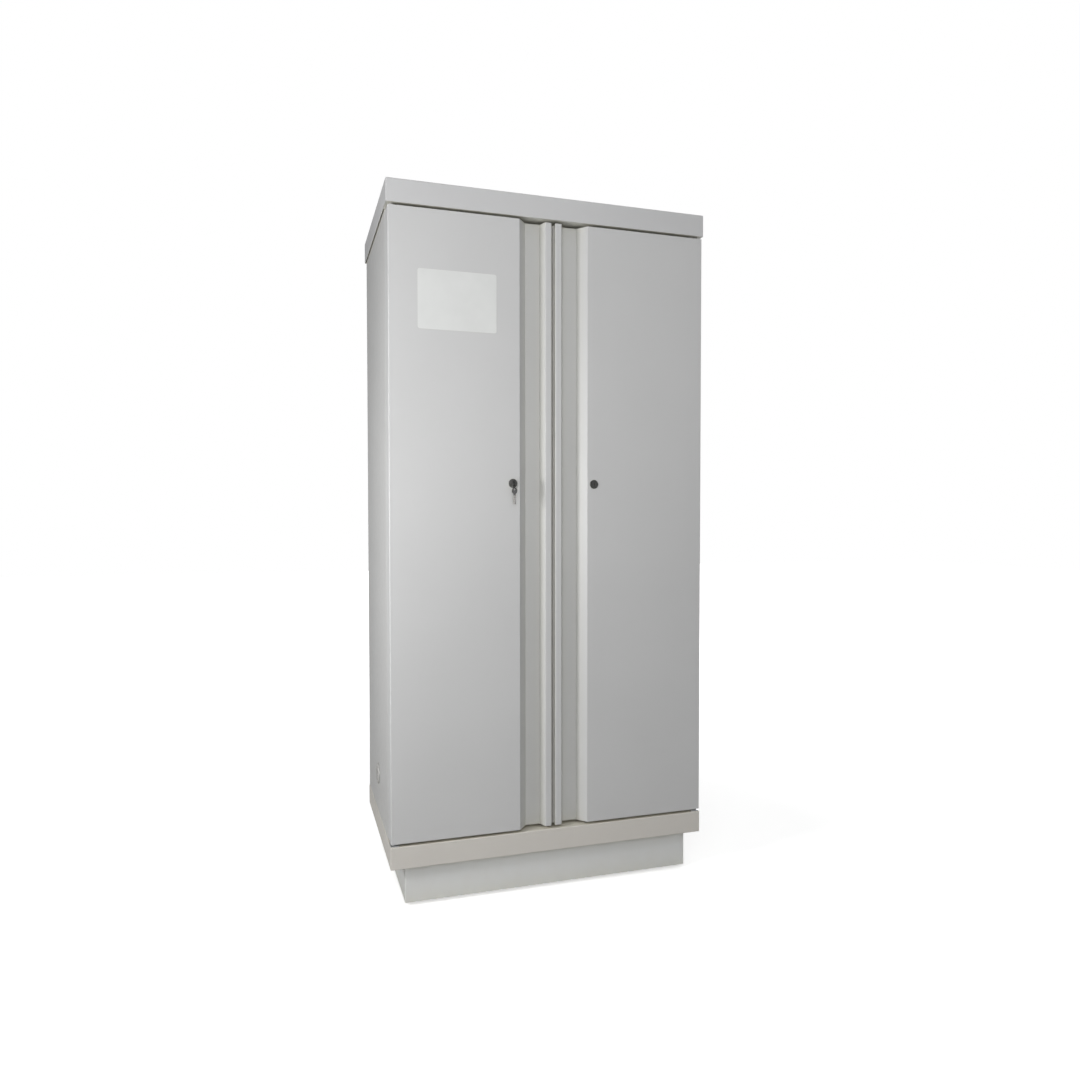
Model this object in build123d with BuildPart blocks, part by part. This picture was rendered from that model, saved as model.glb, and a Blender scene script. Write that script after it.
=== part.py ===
from build123d import *

import math
import os

os.makedirs("parts", exist_ok=True)

# A two-door fireproof cabinet, in millimetres. The origin is on the floor under the
# middle of the casing, +Z is up, the doors face -Y and the left door is at -X.

# Overall sizes
casing_width = 920.0
cap_overhang = 5.0
cap_depth = 560.0
total_height = 1950.0
cap_height = 62.0
base_height = 62.0
plinth_height = 112.0
casing_back_inset = 5.0
base_overhang = 1.5

# Sheet, bends and clearances shared by the folded pieces
sheet = 1.5
heavy_sheet = 2.0
bend = 2.5
seat_gap = 0.3
overrun = 2.0

# Doors and the gaps round them
door_thickness = 60.0
door_edge_gap = 8.0
door_rear_gap = 4.0
meeting_half_gap = 5.5

# Walls of the insulated casing
wall = 50.0
lip = 12.0
rear_return = 24.0
floor_build = 32.0
head_drop = 50.0
casing_tuck = 50.0

# Planes and levels that the pieces share
half_casing = casing_width / 2
half_cap = half_casing + cap_overhang
half_base = half_casing + base_overhang
front_y = -cap_depth / 2
rear_y = cap_depth / 2
casing_rear = rear_y - casing_back_inset
base_rear = casing_rear + base_overhang
base_top = plinth_height + base_height
cap_bottom = total_height - cap_height
casing_top = cap_bottom + casing_tuck
door_bottom = base_top + door_edge_gap
door_top = cap_bottom - door_edge_gap
door_height = door_top - door_bottom
door_rear = front_y + door_thickness
casing_front = door_rear + door_rear_gap
half_inner = half_casing - wall
inner_rear = casing_rear - wall
floor_z = base_top + floor_build
ceiling_z = cap_bottom - head_drop
half_clear = half_inner - seat_gap


def at_height(z):
    """Return the level plane at height z, which extrudes upwards."""
    return Plane.XY.offset(z)


def facing_front(y):
    """Return the upright plane at y, which extrudes towards the doors."""
    return Plane.XZ.offset(-y)


def facing_rear(y):
    """Return the upright plane at y, which extrudes towards the back."""
    return Plane(origin=(0, y, 0), x_dir=(-1, 0, 0), z_dir=(0, 1, 0))


def facing_right(x, y=0):
    """Return the upright plane at x, which extrudes towards +X."""
    return Plane(origin=(x, y, 0), x_dir=(0, 1, 0), z_dir=(1, 0, 0))


def facing_left(x, y=0):
    """Return the upright plane at x, which extrudes towards -X."""
    return Plane(origin=(x, y, 0), x_dir=(0, -1, 0), z_dir=(-1, 0, 0))


def board(low, high, mode=Mode.ADD):
    """Add or cut a flat board between two opposite corners."""
    width, depth, height = (high[i] - low[i] for i in range(3))
    with Locations(low):
        Box(width, depth, height, align=(Align.MIN, Align.MIN, Align.MIN), mode=mode)


def folded(plane, points, side, thickness=sheet, radius=bend):
    """Return the section of a folded sheet whose outer face follows the points."""
    with BuildSketch(plane) as section:
        with BuildLine():
            FilletPolyline(*points, radius=radius)
            offset(amount=thickness, side=side)
        make_face()
    return section.sketch


def disc(plane, centre, radius, height, mode=Mode.ADD):
    """Add or cut a round bar that stands on a plane at a point of it."""
    with BuildSketch(plane) as section:
        with Locations(centre):
            Circle(radius)
    extrude(section.sketch, amount=height, mode=mode)


# Plinth: a set-back skirt of four folded trays, open towards the inside
plinth_side_inset = 40.0
plinth_front_inset = 21.0
plinth_rear_inset = 25.0
plinth_flange = 25.0
floor_clearance = 10.0

plinth_front_y = front_y + plinth_front_inset
plinth_rear_y = base_rear - plinth_rear_inset
plinth_side_front = plinth_front_y + plinth_flange
plinth_side_rear = plinth_rear_y - plinth_flange
plinth_side_middle = (plinth_side_front + plinth_side_rear) / 2
half_plinth = half_casing - plinth_side_inset


def plinth_tray(open_side, length):
    """Return one skirt panel, folded on four edges, its open side on the plane."""
    outwards = Axis(open_side.origin, open_side.z_dir)
    with BuildPart() as tray:
        with BuildSketch(open_side):
            with Locations((0, (floor_clearance + plinth_height) / 2)):
                Rectangle(length, plinth_height - floor_clearance)
        extrude(amount=plinth_flange)
        fillet(edges().filter_by(Axis.Z).group_by(outwards)[-1], bend)
        offset(amount=-heavy_sheet, openings=faces().sort_by(outwards)[0])
    return tray.part


with BuildPart() as plinth_front:
    add(plinth_tray(facing_front(plinth_side_front), 2 * half_plinth))
plinth_front.part.label = "plinth_front"
export_step(plinth_front.part, "parts/plinth_front.step")

with BuildPart() as plinth_rear:
    add(plinth_tray(facing_rear(plinth_side_rear), 2 * half_plinth))
plinth_rear.part.label = "plinth_rear"
export_step(plinth_rear.part, "parts/plinth_rear.step")

plinth_side_length = plinth_side_rear - plinth_side_front
plinth_side_x = half_plinth - plinth_flange
with BuildPart() as plinth_sides:
    add(plinth_tray(facing_left(-plinth_side_x, plinth_side_middle), plinth_side_length))
    add(plinth_tray(facing_right(plinth_side_x, plinth_side_middle), plinth_side_length))
plinth_sides.part.label = "plinth_sides"
export_step(plinth_sides.part, "parts/plinth_sides.step")

# Levelling feet: a threaded boss on a corner gusset carries each screwed foot
gusset_size = 80.0
gusset_thickness = 6.0
gusset_corner = 8.0
boss_radius = 13.0
boss_height = 30.0
stem_radius = 5.0
stem_fit = 0.1
stem_top_gap = 3.0
foot_radius = 22.0
foot_rim = 7.0
foot_height = 13.0
foot_neck_radius = 9.0
nut_across = 17.0
nut_height = 8.0

half_gusset = gusset_size / 2
foot_x = plinth_side_x - seat_gap - half_gusset
foot_front_y = plinth_side_front + seat_gap + half_gusset
foot_rear_y = plinth_side_rear - seat_gap - half_gusset
gusset_bottom = plinth_height - gusset_thickness
boss_bottom = gusset_bottom - boss_height
foot_places = {
    "foot_front_left": (-foot_x, foot_front_y),
    "foot_front_right": (foot_x, foot_front_y),
    "foot_rear_left": (-foot_x, foot_rear_y),
    "foot_rear_right": (foot_x, foot_rear_y),
}

with BuildPart() as foot_gussets:
    with BuildSketch(at_height(gusset_bottom)):
        with Locations(*foot_places.values()):
            RectangleRounded(gusset_size, gusset_size, gusset_corner)
    extrude(amount=gusset_thickness)
    with BuildSketch(at_height(boss_bottom)):
        with Locations(*foot_places.values()):
            Circle(boss_radius)
    extrude(amount=boss_height)
    with BuildSketch(at_height(boss_bottom)):
        with Locations(*foot_places.values()):
            Circle(stem_radius + stem_fit)
    extrude(amount=boss_height + gusset_thickness, mode=Mode.SUBTRACT)
foot_gussets.part.label = "foot_gussets"
export_step(foot_gussets.part, "parts/foot_gussets.step")

nut_top = boss_bottom - seat_gap
for foot_name, foot_place in foot_places.items():
    axis_plane = Plane(origin=(foot_place[0], foot_place[1], 0), x_dir=(1, 0, 0), z_dir=(0, -1, 0))
    with BuildPart() as foot:
        with BuildSketch(axis_plane):
            with BuildLine():
                Polyline(
                    (0, 0),
                    (foot_radius - heavy_sheet, 0),
                    (foot_radius, heavy_sheet),
                    (foot_radius, foot_rim),
                    (foot_neck_radius, foot_height),
                    (stem_radius, foot_height),
                    (stem_radius, plinth_height - stem_top_gap),
                    (0, plinth_height - stem_top_gap),
                    close=True,
                )
            make_face()
        revolve(axis=Axis((foot_place[0], foot_place[1], 0), (0, 0, 1)))
        with BuildSketch(at_height(nut_top - nut_height)):
            with Locations(foot_place):
                RegularPolygon(nut_across / 2, 6, major_radius=False)
        extrude(amount=nut_height)
    foot.part.label = foot_name
    export_step(foot.part, f"parts/{foot_name}.step")

# Pivot axis of each door, and the lock axis, both as distances from the middle
pivot_from_side = 12.0
pivot_from_front = 20.0
lock_x = 120.0
lock_z = 1153.0

pivot_x = half_casing - pivot_from_side
pivot_y = front_y + pivot_from_front
pin_radius = 6.0
pin_fit = 0.1

# Rod lock: a pinion on the plug drives two racks, one up and one down
module_size = 1.5
tooth_count = 16
turn_quarters_share = 0.25
backlash = 0.25
tooth_tip = 1.4
tooth_root = 1.65
pressure_angle = 20.0
rack_back = 6.0
rod_radius = 4.0
rod_hole_fit = 0.5
rod_depth = 20.8

pitch_radius = module_size * tooth_count / 2
rod_travel = 2 * math.pi * pitch_radius * turn_quarters_share
rod_offset = pitch_radius + tooth_root + rack_back - rod_radius
upper_rod_x = lock_x + rod_offset
lower_rod_x = lock_x - rod_offset
rod_y = front_y + rod_depth

# Base pan: the rail under the doors, hollow, with a rim round its upper opening
rim_width = 60.0
keeper_radius = 8.0
keeper_height = 10.0

base_middle_y = (front_y + base_rear) / 2
base_depth = base_rear - front_y
half_base_inside = half_base - sheet

with BuildPart() as base_pan:
    with BuildSketch(at_height(plinth_height)):
        with Locations((0, base_middle_y)):
            Rectangle(2 * half_base, base_depth)
    extrude(amount=base_height)
    fillet(edges().filter_by(Axis.Z), bend)
    fillet(edges().filter_by(GeomType.LINE).filter_by(Axis.X).group_by(Axis.Y)[0], bend)
    board(
        (-half_base_inside, front_y + sheet, plinth_height + sheet),
        (half_base_inside, base_rear - sheet, base_top - sheet),
        mode=Mode.SUBTRACT,
    )
    board(
        (-half_base + rim_width, front_y + 2 * rim_width, base_top - sheet - overrun),
        (half_base - rim_width, base_rear - rim_width, base_top + overrun),
        mode=Mode.SUBTRACT,
    )
    with BuildSketch(at_height(base_top - sheet - overrun)):
        with Locations((-lower_rod_x, rod_y), (lower_rod_x, rod_y)):
            Circle(rod_radius + rod_hole_fit)
    extrude(amount=sheet + 2 * overrun, mode=Mode.SUBTRACT)
base_pan.part.label = "base_pan"
export_step(base_pan.part, "parts/base_pan.step")

# Air ways: the exhaust rises through the top, the inlet comes in low on the left side
exhaust_radius = 50.0
exhaust_from_back = 75.0
exhaust_rise = 50.0
inlet_radius = 24.0
inlet_from_back = 215.0
inlet_above_floor = 84.0
collar_sheet = 1.5
collar_rim = 15.0
hole_fit = 0.6
spindle_height = 12.0
exhaust_spindle = 3.0
inlet_spindle = 2.5
flap_thickness = 2.0
flap_gap = 1.2

exhaust_y = inner_rear - exhaust_from_back
inlet_y = inner_rear - inlet_from_back
inlet_z = floor_z + inlet_above_floor
spindle_z = cap_bottom + spindle_height
inlet_middle_x = -(half_casing + half_inner) / 2

# Casing sides: a folded sheet with a front return, a lip and a rear return
side_height = casing_top - base_top
with BuildPart() as side_panel_left:
    extrude(
        folded(
            at_height(base_top),
            [
                (-half_inner, casing_front + lip),
                (-half_inner, casing_front),
                (-half_casing, casing_front),
                (-half_casing, casing_rear),
                (-half_casing + rear_return, casing_rear),
            ],
            Side.RIGHT,
        ),
        amount=side_height,
    )
    disc(
        facing_right(-half_casing - overrun),
        (inlet_y, inlet_z),
        inlet_radius + hole_fit,
        2 * overrun + sheet,
        mode=Mode.SUBTRACT,
    )
side_panel_left.part.label = "side_panel_left"
export_step(side_panel_left.part, "parts/side_panel_left.step")

with BuildPart() as side_panel_right:
    extrude(
        folded(
            at_height(base_top),
            [
                (half_inner, casing_front + lip),
                (half_inner, casing_front),
                (half_casing, casing_front),
                (half_casing, casing_rear),
                (half_casing - rear_return, casing_rear),
            ],
            Side.LEFT,
        ),
        amount=side_height,
    )
side_panel_right.part.label = "side_panel_right"
export_step(side_panel_right.part, "parts/side_panel_right.step")

# Back panel: lies inside the rear returns and has two pressed stiffening fields
half_back = half_casing - bend - seat_gap
back_outer_y = casing_rear - sheet
back_inner_y = back_outer_y - sheet
field_margin = 90.0
field_press = 5.0
field_slope = 45.0
field_height = (side_height - 3 * field_margin) / 2
field_rise = (field_height + field_margin) / 2
with BuildPart() as back_panel:
    board((-half_back, back_inner_y, base_top), (half_back, back_outer_y, casing_top))
    for start_y, cut in ((back_outer_y, Mode.ADD), (back_inner_y, Mode.SUBTRACT)):
        with BuildSketch(facing_rear(start_y)):
            with Locations((0, (base_top + casing_top) / 2)):
                with Locations((0, -field_rise), (0, field_rise)):
                    Rectangle(2 * (half_back - field_margin), field_height)
        extrude(amount=field_press, taper=field_slope, mode=cut)
back_panel.part.label = "back_panel"
export_step(back_panel.part, "parts/back_panel.step")

# Front frame: strips across the head and the sill of the opening
head_section = [
    (casing_front, cap_bottom),
    (casing_front, ceiling_z),
    (casing_front + lip, ceiling_z),
]
sill_section = [
    (casing_front, base_top),
    (casing_front, floor_z),
    (casing_front + lip, floor_z),
]
with BuildPart() as front_frame:
    extrude(folded(facing_right(-half_clear), head_section, Side.LEFT), amount=2 * half_clear)
    extrude(folded(facing_right(-half_clear), sill_section, Side.RIGHT), amount=2 * half_clear)
front_frame.part.label = "front_frame"
export_step(front_frame.part, "parts/front_frame.step")

# Header beam: an open channel above the doors that holds the pivots and rod keepers
header_front = front_y + sheet + seat_gap
header_rear = casing_front - seat_gap
half_header = half_cap - sheet - seat_gap
header_floor = cap_bottom + heavy_sheet
pin_hole_fit = 0.6
with BuildPart() as header_beam:
    extrude(
        folded(
            facing_right(-half_header),
            [
                (header_front, casing_top),
                (header_front, cap_bottom),
                (header_rear, cap_bottom),
                (header_rear, casing_top),
            ],
            Side.LEFT,
            heavy_sheet,
        ),
        amount=2 * half_header,
    )
    with BuildSketch(at_height(cap_bottom - overrun)):
        with Locations((-pivot_x, pivot_y), (pivot_x, pivot_y)):
            Circle(pin_radius + pin_hole_fit)
        with Locations((-upper_rod_x, rod_y), (upper_rod_x, rod_y)):
            Circle(rod_radius + rod_hole_fit)
    extrude(amount=heavy_sheet + 2 * overrun, mode=Mode.SUBTRACT)
header_beam.part.label = "header_beam"
export_step(header_beam.part, "parts/header_beam.step")

# Top cap: a tray folded down on four sides
with BuildPart() as top_cap:
    with BuildSketch(at_height(cap_bottom)):
        Rectangle(2 * half_cap, cap_depth)
    extrude(amount=cap_height)
    fillet(edges().filter_by(Axis.Z), bend)
    fillet(faces().sort_by(Axis.Z)[-1].edges(), bend)
    offset(amount=-sheet, openings=faces().sort_by(Axis.Z)[0])
    disc(
        at_height(total_height - sheet - overrun),
        (0, exhaust_y),
        exhaust_radius + hole_fit,
        sheet + 2 * overrun,
        mode=Mode.SUBTRACT,
    )
top_cap.part.label = "top_cap"
export_step(top_cap.part, "parts/top_cap.step")

# Insulation boards of the base and the floor
pocket_radius = keeper_radius + seat_gap
pocket_depth = keeper_height + seat_gap
base_board_top = base_top - sheet - seat_gap
board_front_y = casing_front + sheet + seat_gap
board_rear_y = back_inner_y - seat_gap
with BuildPart() as base_insulation:
    board(
        (-half_base_inside + seat_gap, front_y + sheet + seat_gap, plinth_height + sheet),
        (half_base_inside - seat_gap, base_rear - sheet - seat_gap, base_board_top),
    )
    with BuildSketch(at_height(base_board_top - pocket_depth)):
        with Locations((-lower_rod_x, rod_y), (lower_rod_x, rod_y)):
            Circle(pocket_radius)
    extrude(amount=pocket_depth + overrun, mode=Mode.SUBTRACT)
    board(
        (-half_clear, board_front_y, base_top),
        (half_clear, inner_rear - seat_gap, floor_z - sheet - seat_gap),
    )
base_insulation.part.label = "base_insulation"
export_step(base_insulation.part, "parts/base_insulation.step")

# Insulation boards of the sides, the back and the top
side_board_inner = half_inner + sheet + seat_gap
side_board_outer = half_casing - sheet - seat_gap
collar_clear = inlet_radius + hole_fit
with BuildPart() as side_insulation:
    board(
        (-side_board_outer, board_front_y, base_top),
        (-side_board_inner, board_rear_y, casing_top),
    )
    board(
        (side_board_inner, board_front_y, base_top),
        (side_board_outer, board_rear_y, casing_top),
    )
    disc(
        facing_right(-half_casing),
        (inlet_y, inlet_z),
        collar_clear,
        wall,
        mode=Mode.SUBTRACT,
    )
side_insulation.part.label = "side_insulation"
export_step(side_insulation.part, "parts/side_insulation.step")

with BuildPart() as back_insulation:
    board(
        (-half_inner - sheet, inner_rear + sheet + seat_gap, base_top),
        (half_inner + sheet, board_rear_y, casing_top),
    )
back_insulation.part.label = "back_insulation"
export_step(back_insulation.part, "parts/back_insulation.step")

with BuildPart() as top_insulation:
    board(
        (-half_clear, board_front_y, ceiling_z + sheet + seat_gap),
        (half_clear, inner_rear - seat_gap, cap_bottom),
    )
    disc(
        at_height(ceiling_z),
        (0, exhaust_y),
        exhaust_radius + hole_fit,
        head_drop + overrun,
        mode=Mode.SUBTRACT,
    )
top_insulation.part.label = "top_insulation"
export_step(top_insulation.part, "parts/top_insulation.step")

# Inner linings: each side has a lower and an upper sheet, which the shelf rails bridge
lower_lining_height = 300.0

lining_front_y = casing_front + lip + seat_gap
lining_joint_z = base_top + lower_lining_height
with BuildPart() as side_linings:
    for low_z, high_z in ((base_top, lining_joint_z - seat_gap), (lining_joint_z, cap_bottom)):
        board(
            (-half_inner - sheet, lining_front_y, low_z),
            (-half_inner, inner_rear + sheet, high_z),
        )
        board(
            (half_inner, lining_front_y, low_z),
            (half_inner + sheet, inner_rear + sheet, high_z),
        )
    disc(
        facing_right(-half_inner - sheet - overrun),
        (inlet_y, inlet_z),
        collar_clear,
        sheet + 2 * overrun,
        mode=Mode.SUBTRACT,
    )
side_linings.part.label = "side_linings"
export_step(side_linings.part, "parts/side_linings.step")

with BuildPart() as back_lining:
    board((-half_clear, inner_rear, base_top), (half_clear, inner_rear + sheet, cap_bottom))
back_lining.part.label = "back_lining"
export_step(back_lining.part, "parts/back_lining.step")

with BuildPart() as top_lining:
    board(
        (-half_clear, lining_front_y, ceiling_z),
        (half_clear, inner_rear - seat_gap, ceiling_z + sheet),
    )
    disc(
        at_height(ceiling_z - overrun),
        (0, exhaust_y),
        exhaust_radius + hole_fit,
        sheet + 2 * overrun,
        mode=Mode.SUBTRACT,
    )
top_lining.part.label = "top_lining"
export_step(top_lining.part, "parts/top_lining.step")

with BuildPart() as floor_lining:
    board(
        (-half_clear, lining_front_y, floor_z - sheet),
        (half_clear, inner_rear - seat_gap, floor_z),
    )
floor_lining.part.label = "floor_lining"
export_step(floor_lining.part, "parts/floor_lining.step")

# Slotted shelf rails: channels with their web towards the inside
rail_width = 25.0
rail_depth = 10.0
rail_above_floor = 124.0
rail_below_ceiling = 68.0
rail_from_front = 66.0
rail_from_back = 55.0
slot_width = 12.0
slot_height = 6.0
slot_pitch = 80.0
slot_from_end = 75.0

rail_bottom = floor_z + rail_above_floor
rail_length = ceiling_z - rail_below_ceiling - rail_bottom
rail_front_y = casing_front + rail_from_front
rail_rear_y = inner_rear - rail_from_back
slot_count = int((rail_length - 2 * slot_from_end) / slot_pitch) + 1
rail_web_x = half_inner - rail_depth
first_slot_z = rail_bottom + (rail_length - (slot_count - 1) * slot_pitch) / 2
with BuildPart() as shelf_rails:
    for hand, fold_side in ((-1, Side.RIGHT), (1, Side.LEFT)):
        for rail_y in (rail_front_y, rail_rear_y):
            extrude(
                folded(
                    at_height(rail_bottom),
                    [
                        (hand * half_inner, rail_y + rail_width / 2),
                        (hand * rail_web_x, rail_y + rail_width / 2),
                        (hand * rail_web_x, rail_y - rail_width / 2),
                        (hand * half_inner, rail_y - rail_width / 2),
                    ],
                    fold_side,
                ),
                amount=rail_length,
            )
    for rail_y in (rail_front_y, rail_rear_y):
        with BuildSketch(facing_right(-rail_web_x - sheet - overrun)):
            with Locations((rail_y, rail_bottom + rail_length / 2)):
                with GridLocations(slot_width, slot_pitch, 1, slot_count):
                    Rectangle(slot_width, slot_height)
        extrude(amount=2 * (rail_web_x + sheet + overrun), mode=Mode.SUBTRACT)
shelf_rails.part.label = "shelf_rails"
export_step(shelf_rails.part, "parts/shelf_rails.step")

# Shelf clips: a tab through the slot, a leg down the web and a ledge for the shelf
clip_width = 10.0
clip_sheet = 3.0
clip_tab = 4.0
clip_leg = 14.0
clip_ledge = 16.0
shelf_place_shares = (0.19, 0.44, 0.75)

shelf_levels = [
    first_slot_z + round(share * (slot_count - 1)) * slot_pitch + clip_sheet / 2
    for share in shelf_place_shares
]
with BuildPart() as shelf_clips:
    for hand in (-1, 1):
        web = hand * (rail_web_x - seat_gap)
        tab_end = hand * (rail_web_x + sheet + clip_tab)
        leg_inner = hand * (rail_web_x - seat_gap - clip_sheet)
        ledge_end = hand * (rail_web_x - clip_ledge)
        for rail_y in (rail_front_y, rail_rear_y):
            with BuildSketch(facing_front(rail_y + clip_width / 2)):
                for level in shelf_levels:
                    with BuildLine():
                        Polyline(
                            (tab_end, level),
                            (tab_end, level - clip_sheet),
                            (web, level - clip_sheet),
                            (web, level - clip_leg),
                            (leg_inner, level - clip_leg),
                            (leg_inner, level - clip_sheet),
                            (ledge_end, level - clip_sheet),
                            (ledge_end, level),
                            close=True,
                        )
                    make_face()
            extrude(amount=clip_width)
shelf_clips.part.label = "shelf_clips"
export_step(shelf_clips.part, "parts/shelf_clips.step")

# Shelves with a raised edge, all open trays folded from one sheet
shelf_side_gap = 3.0
shelf_front_gap = 26.0
shelf_rear_gap = 13.0
shelf_edge = 25.0
tray_corner = 6.0
sump_height = 50.0

shelf_half = rail_web_x - shelf_side_gap
shelf_front_y = casing_front + shelf_front_gap
shelf_rear_y = inner_rear - shelf_rear_gap


for shelf_name, level in zip(("shelf_lower", "shelf_middle", "shelf_upper"), shelf_levels):
    with BuildPart() as shelf:
        with BuildSketch(at_height(level)):
            with Locations((0, (shelf_front_y + shelf_rear_y) / 2)):
                Rectangle(2 * shelf_half, shelf_rear_y - shelf_front_y)
        extrude(amount=shelf_edge)
        fillet(edges().filter_by(Axis.Z), tray_corner)
        offset(amount=-sheet, openings=faces().sort_by(Axis.Z)[-1])
    shelf.part.label = shelf_name
    export_step(shelf.part, f"parts/{shelf_name}.step")

# Sump tray on the floor: a bottom plate and the four walls that are welded onto it
sump_top = floor_z + sump_height
sump_wall_low = floor_z + sheet + seat_gap
sump_wall_end = sheet + seat_gap
with BuildPart() as sump_tray:
    board((-shelf_half, shelf_front_y, floor_z), (shelf_half, shelf_rear_y, floor_z + sheet))
    for wall_low_y in (shelf_front_y, shelf_rear_y - sheet):
        board(
            (-shelf_half, wall_low_y, sump_wall_low),
            (shelf_half, wall_low_y + sheet, sump_top),
        )
    for wall_low_x in (-shelf_half, shelf_half - sheet):
        board(
            (wall_low_x, shelf_front_y + sump_wall_end, sump_wall_low),
            (wall_low_x + sheet, shelf_rear_y - sump_wall_end, sump_top),
        )
sump_tray.part.label = "sump_tray"
export_step(sump_tray.part, "parts/sump_tray.step")

# Sump grate: a slotted plate that lies on the edge of the sump
grate_slot_width = 10.0
grate_side_margin = 56.0
grate_end_margin = 31.0
grate_row_gap = 40.0
grate_columns = 15
grate_rows = 2

grate_bottom = sump_top + seat_gap
grate_depth = shelf_rear_y - shelf_front_y
grate_slot_field = 2 * (shelf_half - grate_side_margin) - grate_slot_width
grate_slot_pitch = grate_slot_field / (grate_columns - 1)
grate_row_pitch = (grate_depth - 2 * grate_end_margin + grate_row_gap) / grate_rows
grate_slot_length = grate_row_pitch - grate_row_gap
with BuildPart() as sump_grate:
    with BuildSketch(at_height(grate_bottom)):
        with Locations((0, (shelf_front_y + shelf_rear_y) / 2)):
            RectangleRounded(2 * shelf_half, grate_depth, tray_corner)
            with GridLocations(grate_slot_pitch, grate_row_pitch, grate_columns, grate_rows):
                Rectangle(grate_slot_width, grate_slot_length, mode=Mode.SUBTRACT)
    extrude(amount=heavy_sheet)
sump_grate.part.label = "sump_grate"
export_step(sump_grate.part, "parts/sump_grate.step")

# Exhaust collar: a tube through the top with a rim that lies on the cap
spindle_fit = 0.1
with BuildPart() as exhaust_collar:
    disc(
        at_height(ceiling_z),
        (0, exhaust_y),
        exhaust_radius,
        total_height + exhaust_rise - ceiling_z,
    )
    disc(at_height(total_height), (0, exhaust_y), exhaust_radius + collar_rim, collar_sheet)
    disc(
        at_height(ceiling_z - overrun),
        (0, exhaust_y),
        exhaust_radius - collar_sheet,
        total_height + exhaust_rise - ceiling_z + 2 * overrun,
        mode=Mode.SUBTRACT,
    )
    disc(
        facing_right(-exhaust_radius - overrun),
        (exhaust_y, spindle_z),
        exhaust_spindle + spindle_fit,
        2 * (exhaust_radius + overrun),
        mode=Mode.SUBTRACT,
    )
exhaust_collar.part.label = "exhaust_collar"
export_step(exhaust_collar.part, "parts/exhaust_collar.step")

# Exhaust flap: a disc that stands open on its spindle, with the closing lever outside
lever_length = 32.0
lever_width = 12.0
lever_thickness = 3.0
spindle_stub = 8.0
with BuildPart() as exhaust_flap:
    disc(
        facing_front(exhaust_y + flap_thickness / 2),
        (0, spindle_z),
        exhaust_radius - collar_sheet - flap_gap,
        flap_thickness,
    )
    disc(
        facing_right(-exhaust_radius - spindle_stub),
        (exhaust_y, spindle_z),
        exhaust_spindle,
        2 * (exhaust_radius + spindle_stub),
    )
    with BuildSketch(facing_right(exhaust_radius + spindle_stub - lever_thickness)):
        with Locations((exhaust_y, spindle_z + (lever_length - lever_width) / 2)):
            SlotOverall(lever_length, lever_width, rotation=90)
    extrude(amount=lever_thickness)
exhaust_flap.part.label = "exhaust_flap"
export_step(exhaust_flap.part, "parts/exhaust_flap.step")

# Inlet collar, flap and outer grille, all on one axis through the left side
inlet_rim = 5.0
grille_radius = 30.0
grille_height = 3.0
grille_edge = 1.0
grille_gap_width = 6.0
grille_gap_pitch = 11.0
grille_gap_count = 4
grille_gap_chord_share = 0.85

collar_length = wall + collar_sheet
with BuildPart() as inlet_collar:
    disc(facing_left(-half_inner), (-inlet_y, inlet_z), inlet_radius, collar_length)
    disc(facing_left(-half_casing), (-inlet_y, inlet_z), inlet_radius + inlet_rim, collar_sheet)
    disc(
        facing_left(-half_inner + overrun),
        (-inlet_y, inlet_z),
        inlet_radius - collar_sheet,
        collar_length + 2 * overrun,
        mode=Mode.SUBTRACT,
    )
    disc(
        facing_rear(inlet_y - inlet_radius - overrun),
        (-inlet_middle_x, inlet_z),
        inlet_spindle + spindle_fit,
        2 * (inlet_radius + overrun),
        mode=Mode.SUBTRACT,
    )
inlet_collar.part.label = "inlet_collar"
export_step(inlet_collar.part, "parts/inlet_collar.step")

with BuildPart() as inlet_flap:
    with BuildSketch(at_height(inlet_z - flap_thickness / 2)):
        with Locations((inlet_middle_x, inlet_y)):
            Circle(inlet_radius - collar_sheet - flap_gap)
    extrude(amount=flap_thickness)
    disc(
        facing_rear(inlet_y - inlet_radius),
        (-inlet_middle_x, inlet_z),
        inlet_spindle,
        2 * inlet_radius,
    )
inlet_flap.part.label = "inlet_flap"
export_step(inlet_flap.part, "parts/inlet_flap.step")

grille_base_x = -half_casing - collar_sheet
with BuildPart() as inlet_grille:
    disc(facing_left(grille_base_x), (-inlet_y, inlet_z), grille_radius, grille_height)
    chamfer(edges().group_by(Axis.X)[0], grille_edge)
    half_grid = (grille_gap_count - 1) * grille_gap_pitch / 2
    for number in range(grille_gap_count):
        rise = number * grille_gap_pitch - half_grid
        chord = 2 * math.sqrt(inlet_radius**2 - rise**2) * grille_gap_chord_share
        with BuildSketch(facing_left(grille_base_x + overrun)):
            with Locations((-inlet_y, inlet_z + rise)):
                Rectangle(chord, grille_gap_width)
        extrude(amount=grille_height + 2 * overrun, mode=Mode.SUBTRACT)
inlet_grille.part.label = "inlet_grille"
export_step(inlet_grille.part, "parts/inlet_grille.step")

# Doors: the plan line of a skin runs from the hinge side to the meeting side
panel_end = 100.0
groove_outer = 76.0
groove_inner = 34.0
groove_depth = 30.0
lip_outer = 24.0
lip_setback = 5.0
field_from_jamb = 12.0
field_from_meeting = 24.0
field_from_top = 60.0
field_from_bottom = 40.0
door_field_press = 6.0
ferrule_radius = 9.0
ferrule_height = 24.0
guide_radius = 7.0
guide_height = 14.0
edge_hole_fit = 0.2
lock_hole_fit = 0.3
barrel_radius = 9.5

skin_rear = door_rear - sheet
skin_front_inside = front_y + sheet
door_hands = {"left": -1, "right": 1}


def between(hand, near, far):
    """Return the low and high x of a stretch given by distances from the middle."""
    return sorted((hand * near, hand * far))


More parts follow.
